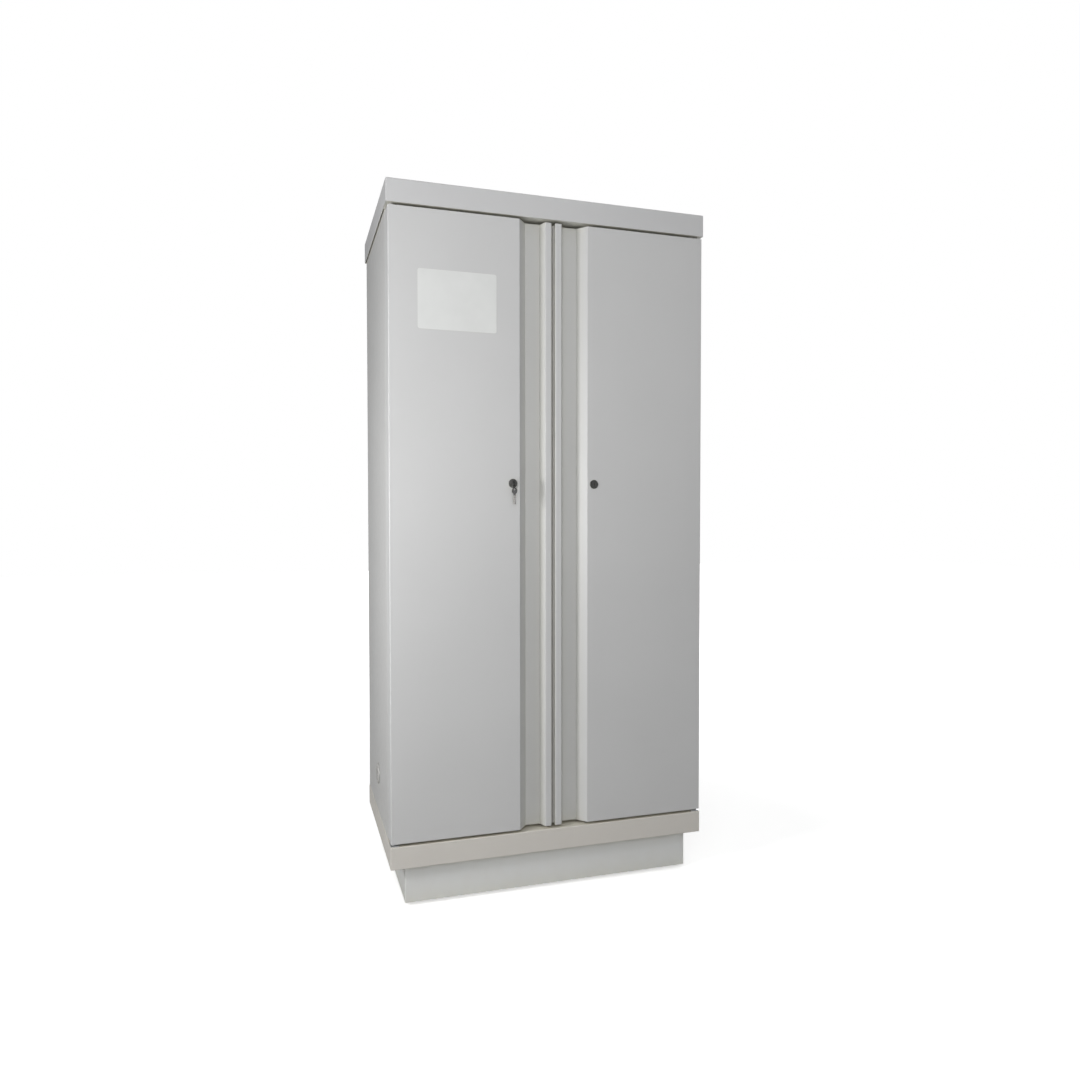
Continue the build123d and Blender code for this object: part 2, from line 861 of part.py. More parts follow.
def door_outline(hand):
    """Draw the plan outline of a door skin, closed along its open rear side."""
    points = [
        (hand * half_casing, skin_rear),
        (hand * half_casing, front_y),
        (hand * panel_end, front_y),
        (hand * groove_outer, front_y + groove_depth),
        (hand * groove_inner, front_y + groove_depth),
        (hand * lip_outer, front_y + lip_setback),
        (hand * meeting_half_gap, front_y + lip_setback),
        (hand * meeting_half_gap, skin_rear),
    ]
    with BuildSketch() as outline:
        with BuildLine():
            FilletPolyline(*points, radius=bend)
            Line(points[-1], points[0])
        make_face()
    return outline.sketch


for door_name, hand in door_hands.items():
    inside_low, inside_high = between(hand, meeting_half_gap + sheet, half_casing - sheet)
    with BuildPart() as door_skin:
        with BuildSketch(at_height(door_bottom)):
            add(door_outline(hand))
        extrude(amount=door_height)
        with BuildSketch(at_height(door_bottom + sheet)):
            add(door_outline(hand))
            offset(amount=-sheet)
            with Locations(((inside_low + inside_high) / 2, skin_rear)):
                Rectangle(inside_high - inside_low, 2 * (sheet + overrun))
        extrude(amount=door_height - 2 * sheet, mode=Mode.SUBTRACT)
        disc(
            facing_front(skin_front_inside + overrun),
            (hand * lock_x, lock_z),
            barrel_radius + lock_hole_fit,
            sheet + 2 * overrun,
            mode=Mode.SUBTRACT,
        )
        for edge_z, rod_x in ((door_bottom, lower_rod_x), (door_top - sheet, upper_rod_x)):
            with BuildSketch(at_height(edge_z - overrun)):
                with Locations((hand * pivot_x, pivot_y)):
                    Circle(ferrule_radius + edge_hole_fit)
                with Locations((hand * rod_x, rod_y)):
                    Circle(guide_radius + edge_hole_fit)
            extrude(amount=sheet + 2 * overrun, mode=Mode.SUBTRACT)
    door_skin.part.label = f"door_skin_{door_name}"
    export_step(door_skin.part, f"parts/door_skin_{door_name}.step")

# Door covers: a rear sheet with a pressed field that enters the opening
field_low_z = door_bottom + field_from_bottom
field_high_z = door_top - field_from_top
for door_name, hand in door_hands.items():
    cover_low, cover_high = between(hand, meeting_half_gap, half_casing)
    field_low, field_high = between(
        hand, meeting_half_gap + field_from_meeting, half_inner - field_from_jamb
    )
    with BuildPart() as door_cover:
        board((cover_low, skin_rear, door_bottom), (cover_high, door_rear, door_top))
        for start_y, cut in ((door_rear, Mode.ADD), (skin_rear, Mode.SUBTRACT)):
            with BuildSketch(facing_rear(start_y)):
                with Locations((-(field_low + field_high) / 2, (field_low_z + field_high_z) / 2)):
                    Rectangle(field_high - field_low, field_high_z - field_low_z)
            extrude(amount=door_field_press, taper=field_slope, mode=cut)
    door_cover.part.label = f"door_cover_{door_name}"
    export_step(door_cover.part, f"parts/door_cover_{door_name}.step")

# Door cores: a thick board beside the lock channel, a thin one behind the groove
# and a strip in the lip, with corners left free for the pivots
channel_clear = 26.0
notch_width = 24.0
notch_gap = 2.0

core_front = skin_front_inside + seat_gap
core_rear = skin_rear - seat_gap
core_bottom = door_bottom + sheet + seat_gap
core_top = door_top - sheet - seat_gap
channel_edge = lock_x + channel_clear
thin_front = front_y + groove_depth + sheet + bend
notch_height = ferrule_height + notch_gap
for door_name, hand in door_hands.items():
    thick_low, thick_high = between(hand, channel_edge, half_casing - sheet - seat_gap)
    thin_low, thin_high = between(
        hand, meeting_half_gap + sheet + seat_gap, channel_edge - seat_gap
    )
    strip_low, strip_high = between(
        hand, meeting_half_gap + sheet + bend, lip_outer - sheet - seat_gap
    )
    notch_low, notch_high = between(hand, half_casing - notch_width, half_casing)
    with BuildPart() as door_core:
        board((thick_low, core_front, core_bottom), (thick_high, core_rear, core_top))
        for notch_z in (door_bottom, door_top - notch_height):
            board(
                (notch_low, front_y, notch_z),
                (notch_high, pivot_y + notch_width / 2, notch_z + notch_height),
                mode=Mode.SUBTRACT,
            )
        board((thin_low, thin_front, core_bottom), (thin_high, core_rear, core_top))
        board(
            (strip_low, front_y + lip_setback + sheet + bend, core_bottom),
            (strip_high, thin_front, core_top),
        )
    door_core.part.label = f"door_core_{door_name}"
    export_step(door_core.part, f"parts/door_core_{door_name}.step")

# Door seals: a swelling strip round the cover's field and a soft gasket where the doors meet
seal_thickness = 2.0
seal_width = 16.0
seal_from_pivot = 2.0
seal_from_meeting = 3.0
seal_from_end = 4.0
gasket_width = 16.0
gasket_thickness = 5.0
gasket_from_lip = 9.0

for door_name, hand in door_hands.items():
    seal_low, seal_high = between(
        hand, meeting_half_gap + seal_from_meeting, pivot_x - seal_from_pivot
    )
    ring_width = seal_high - seal_low
    ring_height = door_height - 2 * seal_from_end
    with BuildPart() as door_seals:
        with BuildSketch(facing_rear(door_rear)):
            with Locations((-(seal_low + seal_high) / 2, (door_bottom + door_top) / 2)):
                Rectangle(ring_width, ring_height)
                Rectangle(
                    ring_width - 2 * seal_width, ring_height - 2 * seal_width, mode=Mode.SUBTRACT
                )
        extrude(amount=seal_thickness)
        with BuildSketch(at_height(door_bottom + seal_from_end)):
            with Locations(
                (
                    hand * (meeting_half_gap - gasket_thickness / 2),
                    front_y + lip_setback + gasket_from_lip + gasket_width / 2,
                )
            ):
                Rectangle(gasket_thickness, gasket_width)
        extrude(amount=ring_height)
        tip = edges().filter_by(Axis.Z).sort_by(Axis.X)
        fillet(tip[-2:] if hand < 0 else tip[:2], gasket_thickness / 3)
    door_seals.part.label = f"door_seals_{door_name}"
    export_step(door_seals.part, f"parts/door_seals_{door_name}.step")

# Edge fittings: lower pivot bush, upper pivot pin in its ferrule, and two rod guides
cartridge_radius = 11.5
cartridge_height = 44.0
cartridge_bore = 36.0
cartridge_nut = 14.0
cartridge_nut_height = 5.0
pin_end_gap = 4.0

pin_top = header_floor + cartridge_bore - pin_end_gap
for door_name, hand in door_hands.items():
    pivot_place = (hand * pivot_x, pivot_y)
    with BuildPart() as edge_fittings:
        disc(at_height(door_bottom), pivot_place, ferrule_radius, ferrule_height)
        disc(
            at_height(door_bottom),
            pivot_place,
            pin_radius + pin_fit,
            ferrule_height,
            mode=Mode.SUBTRACT,
        )
        disc(at_height(door_top - ferrule_height), pivot_place, ferrule_radius, ferrule_height)
        disc(at_height(door_top), pivot_place, pin_radius, pin_top - door_top)
        for guide_z, rod_x in (
            (door_bottom, lower_rod_x),
            (door_top - guide_height, upper_rod_x),
        ):
            with BuildSketch(at_height(guide_z)):
                with Locations((hand * rod_x, rod_y)):
                    Circle(guide_radius)
                    Circle(rod_radius + seat_gap, mode=Mode.SUBTRACT)
            extrude(amount=guide_height)
    edge_fittings.part.label = f"edge_fittings_{door_name}"
    export_step(edge_fittings.part, f"parts/edge_fittings_{door_name}.step")

# Spring cartridges on the header close the doors: each holds the top of a pivot pin
with BuildPart() as spring_cartridges:
    for hand in door_hands.values():
        pivot_place = (hand * pivot_x, pivot_y)
        disc(at_height(header_floor), pivot_place, cartridge_radius, cartridge_height)
        disc(
            at_height(header_floor),
            pivot_place,
            pin_radius + pin_fit,
            cartridge_bore,
            mode=Mode.SUBTRACT,
        )
        with BuildSketch(at_height(header_floor + cartridge_height)):
            with Locations(pivot_place):
                RegularPolygon(cartridge_nut / 2, 6, major_radius=False)
        extrude(amount=cartridge_nut_height)
spring_cartridges.part.label = "spring_cartridges"
export_step(spring_cartridges.part, "parts/spring_cartridges.step")

# Lower pivots: a plate with an upright pin on the base pan, and a thrust washer
pivot_plate_width = 24.0
pivot_plate_depth = 36.0
pivot_plate_thickness = 3.0
washer_radius = 10.5
lower_pin_gap = 3.0

plate_top = base_top + pivot_plate_thickness
with BuildPart() as lower_pivots:
    for hand in door_hands.values():
        pivot_place = (hand * pivot_x, pivot_y)
        with BuildSketch(at_height(base_top)):
            with Locations(pivot_place):
                RectangleRounded(pivot_plate_width, pivot_plate_depth, bend)
        extrude(amount=pivot_plate_thickness)
        disc(
            at_height(plate_top),
            pivot_place,
            pin_radius,
            door_bottom + ferrule_height - lower_pin_gap - plate_top,
        )
        with BuildSketch(at_height(plate_top + seat_gap / 2)):
            with Locations(pivot_place):
                Circle(washer_radius)
                Circle(pin_radius + pin_fit, mode=Mode.SUBTRACT)
        extrude(amount=door_edge_gap - pivot_plate_thickness - seat_gap)
lower_pivots.part.label = "lower_pivots"
export_step(lower_pivots.part, "parts/lower_pivots.step")

# Rod keepers: rings that take the ends of the lock rods in the header and the base
with BuildPart() as rod_keepers:
    for hand in door_hands.values():
        for keeper_z, rod_x in (
            (header_floor, upper_rod_x),
            (base_top - sheet - keeper_height, lower_rod_x),
        ):
            with BuildSketch(at_height(keeper_z)):
                with Locations((hand * rod_x, rod_y)):
                    Circle(keeper_radius)
                    Circle(rod_radius + rod_hole_fit, mode=Mode.SUBTRACT)
            extrude(amount=keeper_height)
rod_keepers.part.label = "rod_keepers"
export_step(rod_keepers.part, "parts/rod_keepers.step")

# Earth stud on the back panel, tightened down with its washer and nut
earth_from_side = 80.0
earth_above_base = 61.0
earth_radius = 4.0
earth_length = 17.0
earth_washer_radius = 8.0
earth_washer_thickness = 1.6
earth_nut = 13.0
earth_nut_height = 6.5

earth_place = (earth_from_side - half_casing, base_top + earth_above_base)
with BuildPart() as earth_stud:
    disc(facing_rear(back_outer_y), earth_place, earth_radius, earth_length)
    disc(facing_rear(back_outer_y), earth_place, earth_washer_radius, earth_washer_thickness)
    with BuildSketch(facing_rear(back_outer_y + earth_washer_thickness)):
        with Locations(earth_place):
            RegularPolygon(earth_nut / 2, 6, major_radius=False)
    extrude(amount=earth_nut_height)
earth_stud.part.label = "earth_stud"
export_step(earth_stud.part, "parts/earth_stud.step")

# Lock of each door: flanged barrel, its nut behind the skin, and the case of the racks
flange_radius = 12.5
flange_height = 2.0
flange_edge = 0.8
barrel_length = 16.0
barrel_nut = 24.0
thread_fit = 0.1
barrel_nut_height = 4.0
case_front = 10.0
case_depth = 22.0
case_half_width = 22.0
case_half_height = 32.0
plug_radius = 6.0
plug_proud = 0.5
tail_radius = 4.0

pinion_thickness = 9.0
rack_thickness = 7.0
case_front_y = front_y + case_front
case_rear_y = case_front_y + case_depth
for door_name, hand in door_hands.items():
    lock_place = (hand * lock_x, lock_z)
    case_low, case_high = between(hand, lock_x - case_half_width, lock_x + case_half_width)
    with BuildPart() as lock:
        disc(facing_front(front_y), lock_place, flange_radius, flange_height)
        chamfer(edges().filter_by(GeomType.CIRCLE).group_by(Axis.Y)[0], flange_edge)
        disc(facing_rear(front_y), (-hand * lock_x, lock_z), barrel_radius, barrel_length)
        disc(
            facing_front(front_y + barrel_length),
            lock_place,
            plug_radius + pin_fit,
            barrel_length + flange_height,
            mode=Mode.SUBTRACT,
        )
        with BuildSketch(facing_rear(skin_front_inside)):
            with Locations((-hand * lock_x, lock_z)):
                RegularPolygon(barrel_nut / 2, 6, major_radius=False)
                Circle(barrel_radius + thread_fit, mode=Mode.SUBTRACT)
        extrude(amount=barrel_nut_height)
    with BuildPart() as lock_case:
        board(
            (case_low, case_front_y, lock_z - case_half_height),
            (case_high, case_rear_y, lock_z + case_half_height),
        )
        board(
            (case_low + sheet, case_front_y + sheet, lock_z - case_half_height + sheet),
            (case_high - sheet, case_rear_y - sheet, lock_z + case_half_height - sheet),
            mode=Mode.SUBTRACT,
        )
        disc(
            facing_front(case_front_y + sheet + overrun),
            lock_place,
            barrel_radius + lock_hole_fit,
            sheet + 2 * overrun,
            mode=Mode.SUBTRACT,
        )
        disc(
            facing_front(case_rear_y + overrun),
            lock_place,
            tail_radius + pin_fit,
            sheet + 2 * overrun,
            mode=Mode.SUBTRACT,
        )
        for wall_z, rod_x in (
            (lock_z - case_half_height, lower_rod_x),
            (lock_z + case_half_height - sheet, upper_rod_x),
        ):
            disc(
                at_height(wall_z - overrun),
                (hand * rod_x, rod_y),
                rod_radius + rod_hole_fit,
                sheet + 2 * overrun,
                mode=Mode.SUBTRACT,
            )
    with BuildPart() as lock_group:
        add(lock.part)
        add(lock_case.part)
    lock_group.part.label = f"lock_{door_name}"
    export_step(lock_group.part, f"parts/lock_{door_name}.step")

# Plug: the turning core of a lock, with its keyway and the pinion behind it
keyway_width = 2.4
keyway_height = 8.0
keyway_depth = 27.5
root_half_share = 0.72
pitch_half_share = 0.667
tip_half_share = 0.267

pinion_front_y = rod_y - pinion_thickness / 2
plug_face_y = front_y - flange_height - plug_proud
tooth_profile = [
    (pitch_radius - tooth_root, -module_size * root_half_share),
    (pitch_radius, -module_size * pitch_half_share),
    (pitch_radius + tooth_tip, -module_size * tip_half_share),
    (pitch_radius + tooth_tip, module_size * tip_half_share),
    (pitch_radius, module_size * pitch_half_share),
    (pitch_radius - tooth_root, module_size * root_half_share),
]


def pinion_points():
    """Return the outline of the pinion, one tooth of which points at each rack."""
    points = []
    for number in range(tooth_count):
        centre = 2 * math.pi * number / tooth_count
        for radius, half in tooth_profile:
            angle = centre + half / radius
            points.append((radius * math.cos(angle), radius * math.sin(angle)))
    return points


for door_name, hand in door_hands.items():
    lock_place = (-hand * lock_x, lock_z)
    pinion_origin = (hand * lock_x, pinion_front_y, lock_z)
    with BuildPart() as lock_plug:
        disc(facing_rear(plug_face_y), lock_place, plug_radius, pinion_front_y - plug_face_y)
        with BuildSketch(Plane(origin=pinion_origin, x_dir=(-1, 0, 0), z_dir=(0, 1, 0))):
            with BuildLine():
                Polyline(*pinion_points(), close=True)
            make_face()
        extrude(amount=pinion_thickness)
        disc(
            facing_rear(pinion_front_y + pinion_thickness),
            lock_place,
            tail_radius,
            case_rear_y - pinion_front_y - pinion_thickness,
        )
        with BuildSketch(facing_rear(plug_face_y)):
            with Locations(lock_place):
                Rectangle(keyway_width, keyway_height)
        extrude(amount=keyway_depth, mode=Mode.SUBTRACT)
    lock_plug.part.label = f"lock_plug_{door_name}"
    export_step(lock_plug.part, f"parts/lock_plug_{door_name}.step")

# Lock rods: a toothed rack at the pinion and a round rod to the edge of the door
rack_extra_teeth = 3
rack_end = 8.5
rod_end_setback = 1.0
rod_end_bevel = 1.5

tooth_pitch = math.pi * module_size
rack_slope = math.tan(math.radians(pressure_angle))
rack_half_pitch = module_size * pitch_half_share
rack_half_tip = rack_half_pitch - tooth_tip * rack_slope
rack_half_root = rack_half_pitch + tooth_root * rack_slope
rack_teeth = round(rod_travel / tooth_pitch) + rack_extra_teeth
rack_tip_u = pitch_radius - tooth_tip
rack_root_u = pitch_radius + tooth_root
rack_back_u = rack_root_u + rack_back


def rack_points():
    """Return the rack outline: u is the distance from the pinion axis, v is upwards."""
    low = (1 - rack_teeth) * tooth_pitch
    points = [(rack_back_u, low - rack_half_root), (rack_root_u, low - rack_half_root)]
    for number in range(rack_teeth):
        centre = low + (number + 0.5) * tooth_pitch
        points.append((rack_root_u, centre - rack_half_root))
        points.append((rack_tip_u, centre - rack_half_tip))
        points.append((rack_tip_u, centre + rack_half_tip))
        points.append((rack_root_u, centre + rack_half_root))
    points.append((rack_root_u, rack_end))
    points.append((rack_back_u, rack_end))
    return points


def lock_rod(axis_x, across, upwards, end_z):
    """Return a rack and rod beside the pinion at axis_x; across and upwards are 1 or -1."""
    outline = [(across * u, upwards * v) for u, v in rack_points()]
    rack_origin = (axis_x, rod_y + rack_thickness / 2, lock_z)
    start_z = lock_z + upwards * rack_end
    with BuildPart() as rod:
        with BuildSketch(Plane(origin=rack_origin, x_dir=(1, 0, 0), z_dir=(0, -1, 0))):
            with BuildLine():
                Polyline(*outline, close=True)
            make_face()
        extrude(amount=rack_thickness)
        with BuildSketch(at_height(min(start_z, end_z))):
            with Locations((axis_x + across * rod_offset, rod_y)):
                Circle(rod_radius)
        extrude(amount=abs(end_z - start_z))
        tip = edges().filter_by(GeomType.CIRCLE).sort_by(Axis.Z)[-1 if upwards > 0 else 0]
        chamfer(tip, rod_end_bevel)
    return rod.part


for door_name, hand in door_hands.items():
    with BuildPart() as upper_rod:
        add(lock_rod(hand * lock_x, hand, 1, door_top - rod_end_setback))
    upper_rod.part.label = f"upper_rod_{door_name}"
    export_step(upper_rod.part, f"parts/upper_rod_{door_name}.step")
    with BuildPart() as lower_rod:
        add(lock_rod(hand * lock_x, -hand, -1, door_bottom + rod_end_setback))
    lower_rod.part.label = f"lower_rod_{door_name}"
    export_step(lower_rod.part, f"parts/lower_rod_{door_name}.step")

# Keys: one in the left lock, the spare hanging from it on a small flat ring
key_sheet = 1.8
bow_radius = 9.0
bow_hole_radius = 3.0
bow_hole_from_end = 5.0
bow_gap = 1.0
blade_height = 7.4
blade_depth = 26.5
notch_pitch = 4.5
notch_count = 4
notch_depth = 1.6
notch_start = 6.0
ring_radius = 7.0
ring_wire = 1.6
ring_hang = 1.7
spare_hang = 1.1
spare_turn = 35.0

key_hole_y = plug_face_y - bow_gap - 2 * bow_radius + bow_hole_from_end
blade_tip = plug_face_y + blade_depth - key_hole_y
bow_centre = bow_radius - bow_hole_from_end
ring_top_z = lock_z - ring_hang
ring_centre_z = ring_top_z - ring_radius
ring_bottom_z = ring_centre_z - ring_radius
spare_hole_z = ring_bottom_z - spare_hang


def flat_key(plane):
    """Return a key cut from sheet, its hole at the plane's origin, its blade along x."""
    with BuildPart() as key_blank:
        with BuildSketch(plane):
            with Locations((bow_centre, 0)):
                Circle(bow_radius)
            with Locations(((bow_centre + blade_tip) / 2, 0)):
                Rectangle(blade_tip - bow_centre, blade_height)
            Circle(bow_hole_radius, mode=Mode.SUBTRACT)
            for number in range(notch_count):
                notch_x = blade_tip - notch_start - number * notch_pitch
                with BuildLine():
                    Polyline(
                        (notch_x - notch_depth, -blade_height / 2),
                        (notch_x, notch_depth - blade_height / 2),
                        (notch_x + notch_depth, -blade_height / 2),
                        close=True,
                    )
                make_face(mode=Mode.SUBTRACT)
        extrude(amount=key_sheet / 2, both=True)
    return key_blank.part


with BuildPart() as key:
    add(flat_key(Plane(origin=(-lock_x, key_hole_y, lock_z), x_dir=(0, 1, 0), z_dir=(1, 0, 0))))
key.part.label = "key"
export_step(key.part, "parts/key.step")

turn_cos = math.cos(math.radians(spare_turn))
turn_sin = math.sin(math.radians(spare_turn))
with BuildPart() as spare_key:
    add(
        flat_key(
            Plane(
                origin=(-lock_x, key_hole_y, spare_hole_z),
                x_dir=(0, 0, -1),
                z_dir=(turn_cos, turn_sin, 0),
            )
        )
    )
spare_key.part.label = "spare_key"
export_step(spare_key.part, "parts/spare_key.step")

with BuildPart() as key_ring:
    with BuildSketch(Plane(origin=(-lock_x, key_hole_y, ring_centre_z))):
        with Locations((ring_radius, 0)):
            Rectangle(ring_wire, ring_wire)
    revolve(axis=Axis((-lock_x, key_hole_y, ring_centre_z), (0, 1, 0)))
key_ring.part.label = "key_ring"
export_step(key_ring.part, "parts/key_ring.step")
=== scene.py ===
import math

import bmesh
import bpy
from mathutils import Matrix, Vector


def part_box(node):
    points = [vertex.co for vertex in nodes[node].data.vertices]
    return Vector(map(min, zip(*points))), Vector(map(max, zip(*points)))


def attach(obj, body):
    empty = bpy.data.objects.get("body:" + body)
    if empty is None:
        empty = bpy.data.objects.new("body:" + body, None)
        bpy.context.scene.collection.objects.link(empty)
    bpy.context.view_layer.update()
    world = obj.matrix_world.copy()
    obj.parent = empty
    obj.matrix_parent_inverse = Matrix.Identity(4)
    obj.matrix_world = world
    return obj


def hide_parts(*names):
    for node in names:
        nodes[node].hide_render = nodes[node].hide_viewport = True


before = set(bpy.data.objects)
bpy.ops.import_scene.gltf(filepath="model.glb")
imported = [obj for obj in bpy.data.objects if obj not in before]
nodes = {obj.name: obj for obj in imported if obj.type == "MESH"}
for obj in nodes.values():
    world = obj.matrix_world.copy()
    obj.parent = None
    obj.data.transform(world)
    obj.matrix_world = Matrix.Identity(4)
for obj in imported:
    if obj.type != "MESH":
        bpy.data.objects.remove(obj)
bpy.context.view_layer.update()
box = {name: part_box(name) for name in nodes}

# All lengths are in metres
X, Y, Z = range(3)
LOW, HIGH = range(2)
SIDES = {"left": -1, "right": 1}
TO_FRONT, TO_REAR, TO_TOP, TO_LEFT = (0, -1, 0), (0, 1, 0), (0, 0, 1), (-1, 0, 0)


def centre(name, axis):
    """Return the middle of a node's box along one axis."""
    return (box[name][LOW][axis] + box[name][HIGH][axis]) / 2


# Shader helpers

FULL = (0.0, 1.0)
NOISE_SPAN = (0.3, 0.7)  # where nearly all values of a noise texture lie


def blank_material(name):
    """Return a new material, its node tree, its shader and a point's place in metres."""
    material = bpy.data.materials.new(name)
    material.use_nodes = True
    tree = material.node_tree
    at = add_node(tree, "ShaderNodeTexCoord").outputs["Object"]
    return material, tree, tree.nodes["Principled BSDF"], at


def add_node(tree, kind, **settings):
    node = tree.nodes.new(kind)
    for key, value in settings.items():
        setattr(node, key, value)
    return node


def feed(tree, shader, **sockets):
    """Link each output to the shader's socket of that name; an underscore stands for a space."""
    for key, output in sockets.items():
        tree.links.new(output, shader.inputs[key.replace("_", " ")])


def noise(tree, vector, scale, detail=3.0, roughness=0.5, stretch=None):
    """Return the value output of a noise texture, stretched by three scales if given."""
    if stretch:
        mapping = add_node(tree, "ShaderNodeMapping")
        mapping.inputs["Scale"].default_value = stretch
        tree.links.new(vector, mapping.inputs["Vector"])
        vector = mapping.outputs["Vector"]
    texture = add_node(tree, "ShaderNodeTexNoise")
    texture.inputs["Scale"].default_value = scale
    texture.inputs["Detail"].default_value = detail
    texture.inputs["Roughness"].default_value = roughness
    tree.links.new(vector, texture.inputs["Vector"])
    return texture.outputs["Fac"]


def spread(tree, value, source, target):
    """Return the value mapped from one range to another, and clamped to it."""
    node = add_node(tree, "ShaderNodeMapRange")
    tree.links.new(value, node.inputs["Value"])
    for key, number in zip(("From Min", "From Max", "To Min", "To Max"), (*source, *target)):
        node.inputs[key].default_value = number
    return node.outputs["Result"]


def multiply(tree, first, second):
    node = add_node(tree, "ShaderNodeMath", operation="MULTIPLY")
    tree.links.new(first, node.inputs[0])
    tree.links.new(second, node.inputs[1])
    return node.outputs[0]


def blend(tree, factor, first, second, blend_type="MIX"):
    """Return a colour between two; each is a colour or an output."""
    node = add_node(tree, "ShaderNodeMix", data_type="RGBA", blend_type=blend_type)
    tree.links.new(factor, node.inputs[0])
    for socket, value in ((node.inputs[6], first), (node.inputs[7], second)):
        if isinstance(value, (tuple, list)):
            socket.default_value = (*value[:3], 1.0)
        else:
            tree.links.new(value, socket)
    return node.outputs[2]


def bump(tree, shader, height, strength, distance, before=None):
    """Add a bump from a height output to the shader, on top of an earlier one if given."""
    node = add_node(tree, "ShaderNodeBump")
    node.inputs["Strength"].default_value = strength
    node.inputs["Distance"].default_value = distance
    tree.links.new(height, node.inputs["Height"])
    if before is not None:
        tree.links.new(before, node.inputs["Normal"])
    feed(tree, shader, Normal=node.outputs["Normal"])
    return node.outputs["Normal"]


def tinted(colour, share):
    return tuple(min(1.0, part * share) for part in colour)


def mottled(tree, value, colour, darkest, palest):
    """Return a colour that a noise value moves between two shades of it."""
    full = spread(tree, value, NOISE_SPAN, FULL)
    return blend(tree, full, tinted(colour, darkest), tinted(colour, palest))


def part_of_place(tree, at, axis):
    """Return a point's place along one axis."""
    split = add_node(tree, "ShaderNodeSeparateXYZ")
    tree.links.new(at, split.inputs["Vector"])
    return split.outputs[axis]


def openness(tree, reach):
    """Return how open a point lies to what is within reach, from 0 to 1."""
    node = add_node(tree, "ShaderNodeAmbientOcclusion", samples=6)
    node.inputs["Distance"].default_value = reach
    return node.outputs["AO"]


# Materials

def enamel(name, colour, rough, wear_and_shade=0.5):
    """Powder-coated steel: fine orange peel, slow changes of tone, painted shade in corners and a painted
    warm tint of shade in recesses.
    """
    dirt_and_shade, shade_tint = (0.46, 0.40, 0.31), (1.0, 0.995, 0.90)
    material, tree, shader, at = blank_material(name)
    tone = mottled(tree, noise(tree, at, scale=1.7, detail=2.0), colour, 0.97, 1.03)
    smudges = noise(tree, at, scale=9.0, detail=5.0, roughness=0.62)
    tone = blend(tree, spread(tree, smudges, (0.56, 0.8), (0.0, 0.22 * wear_and_shade)), tone, tinted(colour, 0.86))
    patches = spread(tree, noise(tree, at, scale=24.0, detail=4.0), NOISE_SPAN, (0.45, 1.0))
    # Painted shade: darker and browner in patches in corners and narrow gaps, where little light reaches
    corner = spread(tree, openness(tree, reach=0.014), (0.25, 0.9), (0.55 * wear_and_shade, 0.0))
    tone = blend(tree, multiply(tree, corner, patches), tone, dirt_and_shade)
    # Painted shade: a warm tint that grows in recesses and gaps, where little light reaches
    recess_shade = spread(tree, openness(tree, reach=0.07), (0.45, 0.95), (0.8, 0.0))
    tone = blend(tree, recess_shade, tone, shade_tint, blend_type="MULTIPLY")
    near_floor = spread(tree, part_of_place(tree, at, "Z"), (0.0, 0.34), (0.2 * wear_and_shade, 0.0))
    tone = blend(tree, multiply(tree, near_floor, patches), tone, tinted(dirt_and_shade, 1.25))
    fine = noise(tree, at, scale=60.0, detail=2.0)
    feed(tree, shader, Base_Color=tone,
         Roughness=spread(tree, fine, NOISE_SPAN, (rough - 0.05, rough + 0.07)))
    shader.inputs["Specular IOR Level"].default_value = 0.45
    sag = bump(tree, shader, noise(tree, at, scale=2.2, detail=1.0), strength=0.10, distance=0.003)
    peel = noise(tree, at, scale=620.0, detail=2.0)
    bump(tree, shader, peel, strength=0.1, distance=0.0004, before=sag)
    return material


def zinc(name, colour=(0.60, 0.61, 0.62), rough=0.36, metallic=0.9):
    """Zinc-plated steel with a faint spangle and rolling marks."""
    material, tree, shader, at = blank_material(name)
    cells = add_node(tree, "ShaderNodeTexVoronoi")
    cells.inputs["Scale"].default_value = 95.0
    tree.links.new(at, cells.inputs["Vector"])
    grey = add_node(tree, "ShaderNodeSeparateColor")
    tree.links.new(cells.outputs["Color"], grey.inputs["Color"])
    spangle = spread(tree, grey.outputs["Red"], FULL, FULL)
    tone = blend(tree, spangle, tinted(colour, 0.9), tinted(colour, 1.06))
    stains = noise(tree, at, scale=14.0, detail=6.0, roughness=0.65)
    tone = blend(tree, spread(tree, stains, (0.55, 0.78), (0.0, 0.45)), tone, (0.44, 0.43, 0.40))
    streaks = noise(tree, at, scale=30.0, detail=3.0, stretch=(1.0, 1.0, 9.0))
    feed(tree, shader, Base_Color=tone,
         Roughness=spread(tree, streaks, NOISE_SPAN, (rough - 0.07, rough + 0.12)))
    shader.inputs["Metallic"].default_value = metallic
    bump(tree, shader, noise(tree, at, scale=420.0, detail=2.0), strength=0.14, distance=0.0003)
    return material


def machined(name, colour, rough, turned=True):
    """Machined metal with fine tool marks, darker where hands don't reach."""
    material, tree, shader, at = blank_material(name)
    marks = noise(tree, at, scale=55.0, detail=5.0, stretch=(1.0, 14.0, 1.0) if turned else (9.0, 1.0, 1.0))
    tone = mottled(tree, marks, colour, 0.8, 1.15)
    rubbed = noise(tree, at, scale=160.0, detail=4.0, roughness=0.7)
    tone = blend(tree, spread(tree, rubbed, (0.58, 0.72), (0.0, 0.5)), tone, tinted(colour, 1.7))
    feed(tree, shader, Base_Color=tone,
         Roughness=spread(tree, rubbed, NOISE_SPAN, (rough - 0.06, rough + 0.1)))
    shader.inputs["Metallic"].default_value = 0.85
    bump(tree, shader, marks, strength=0.12, distance=0.0002)
    return material


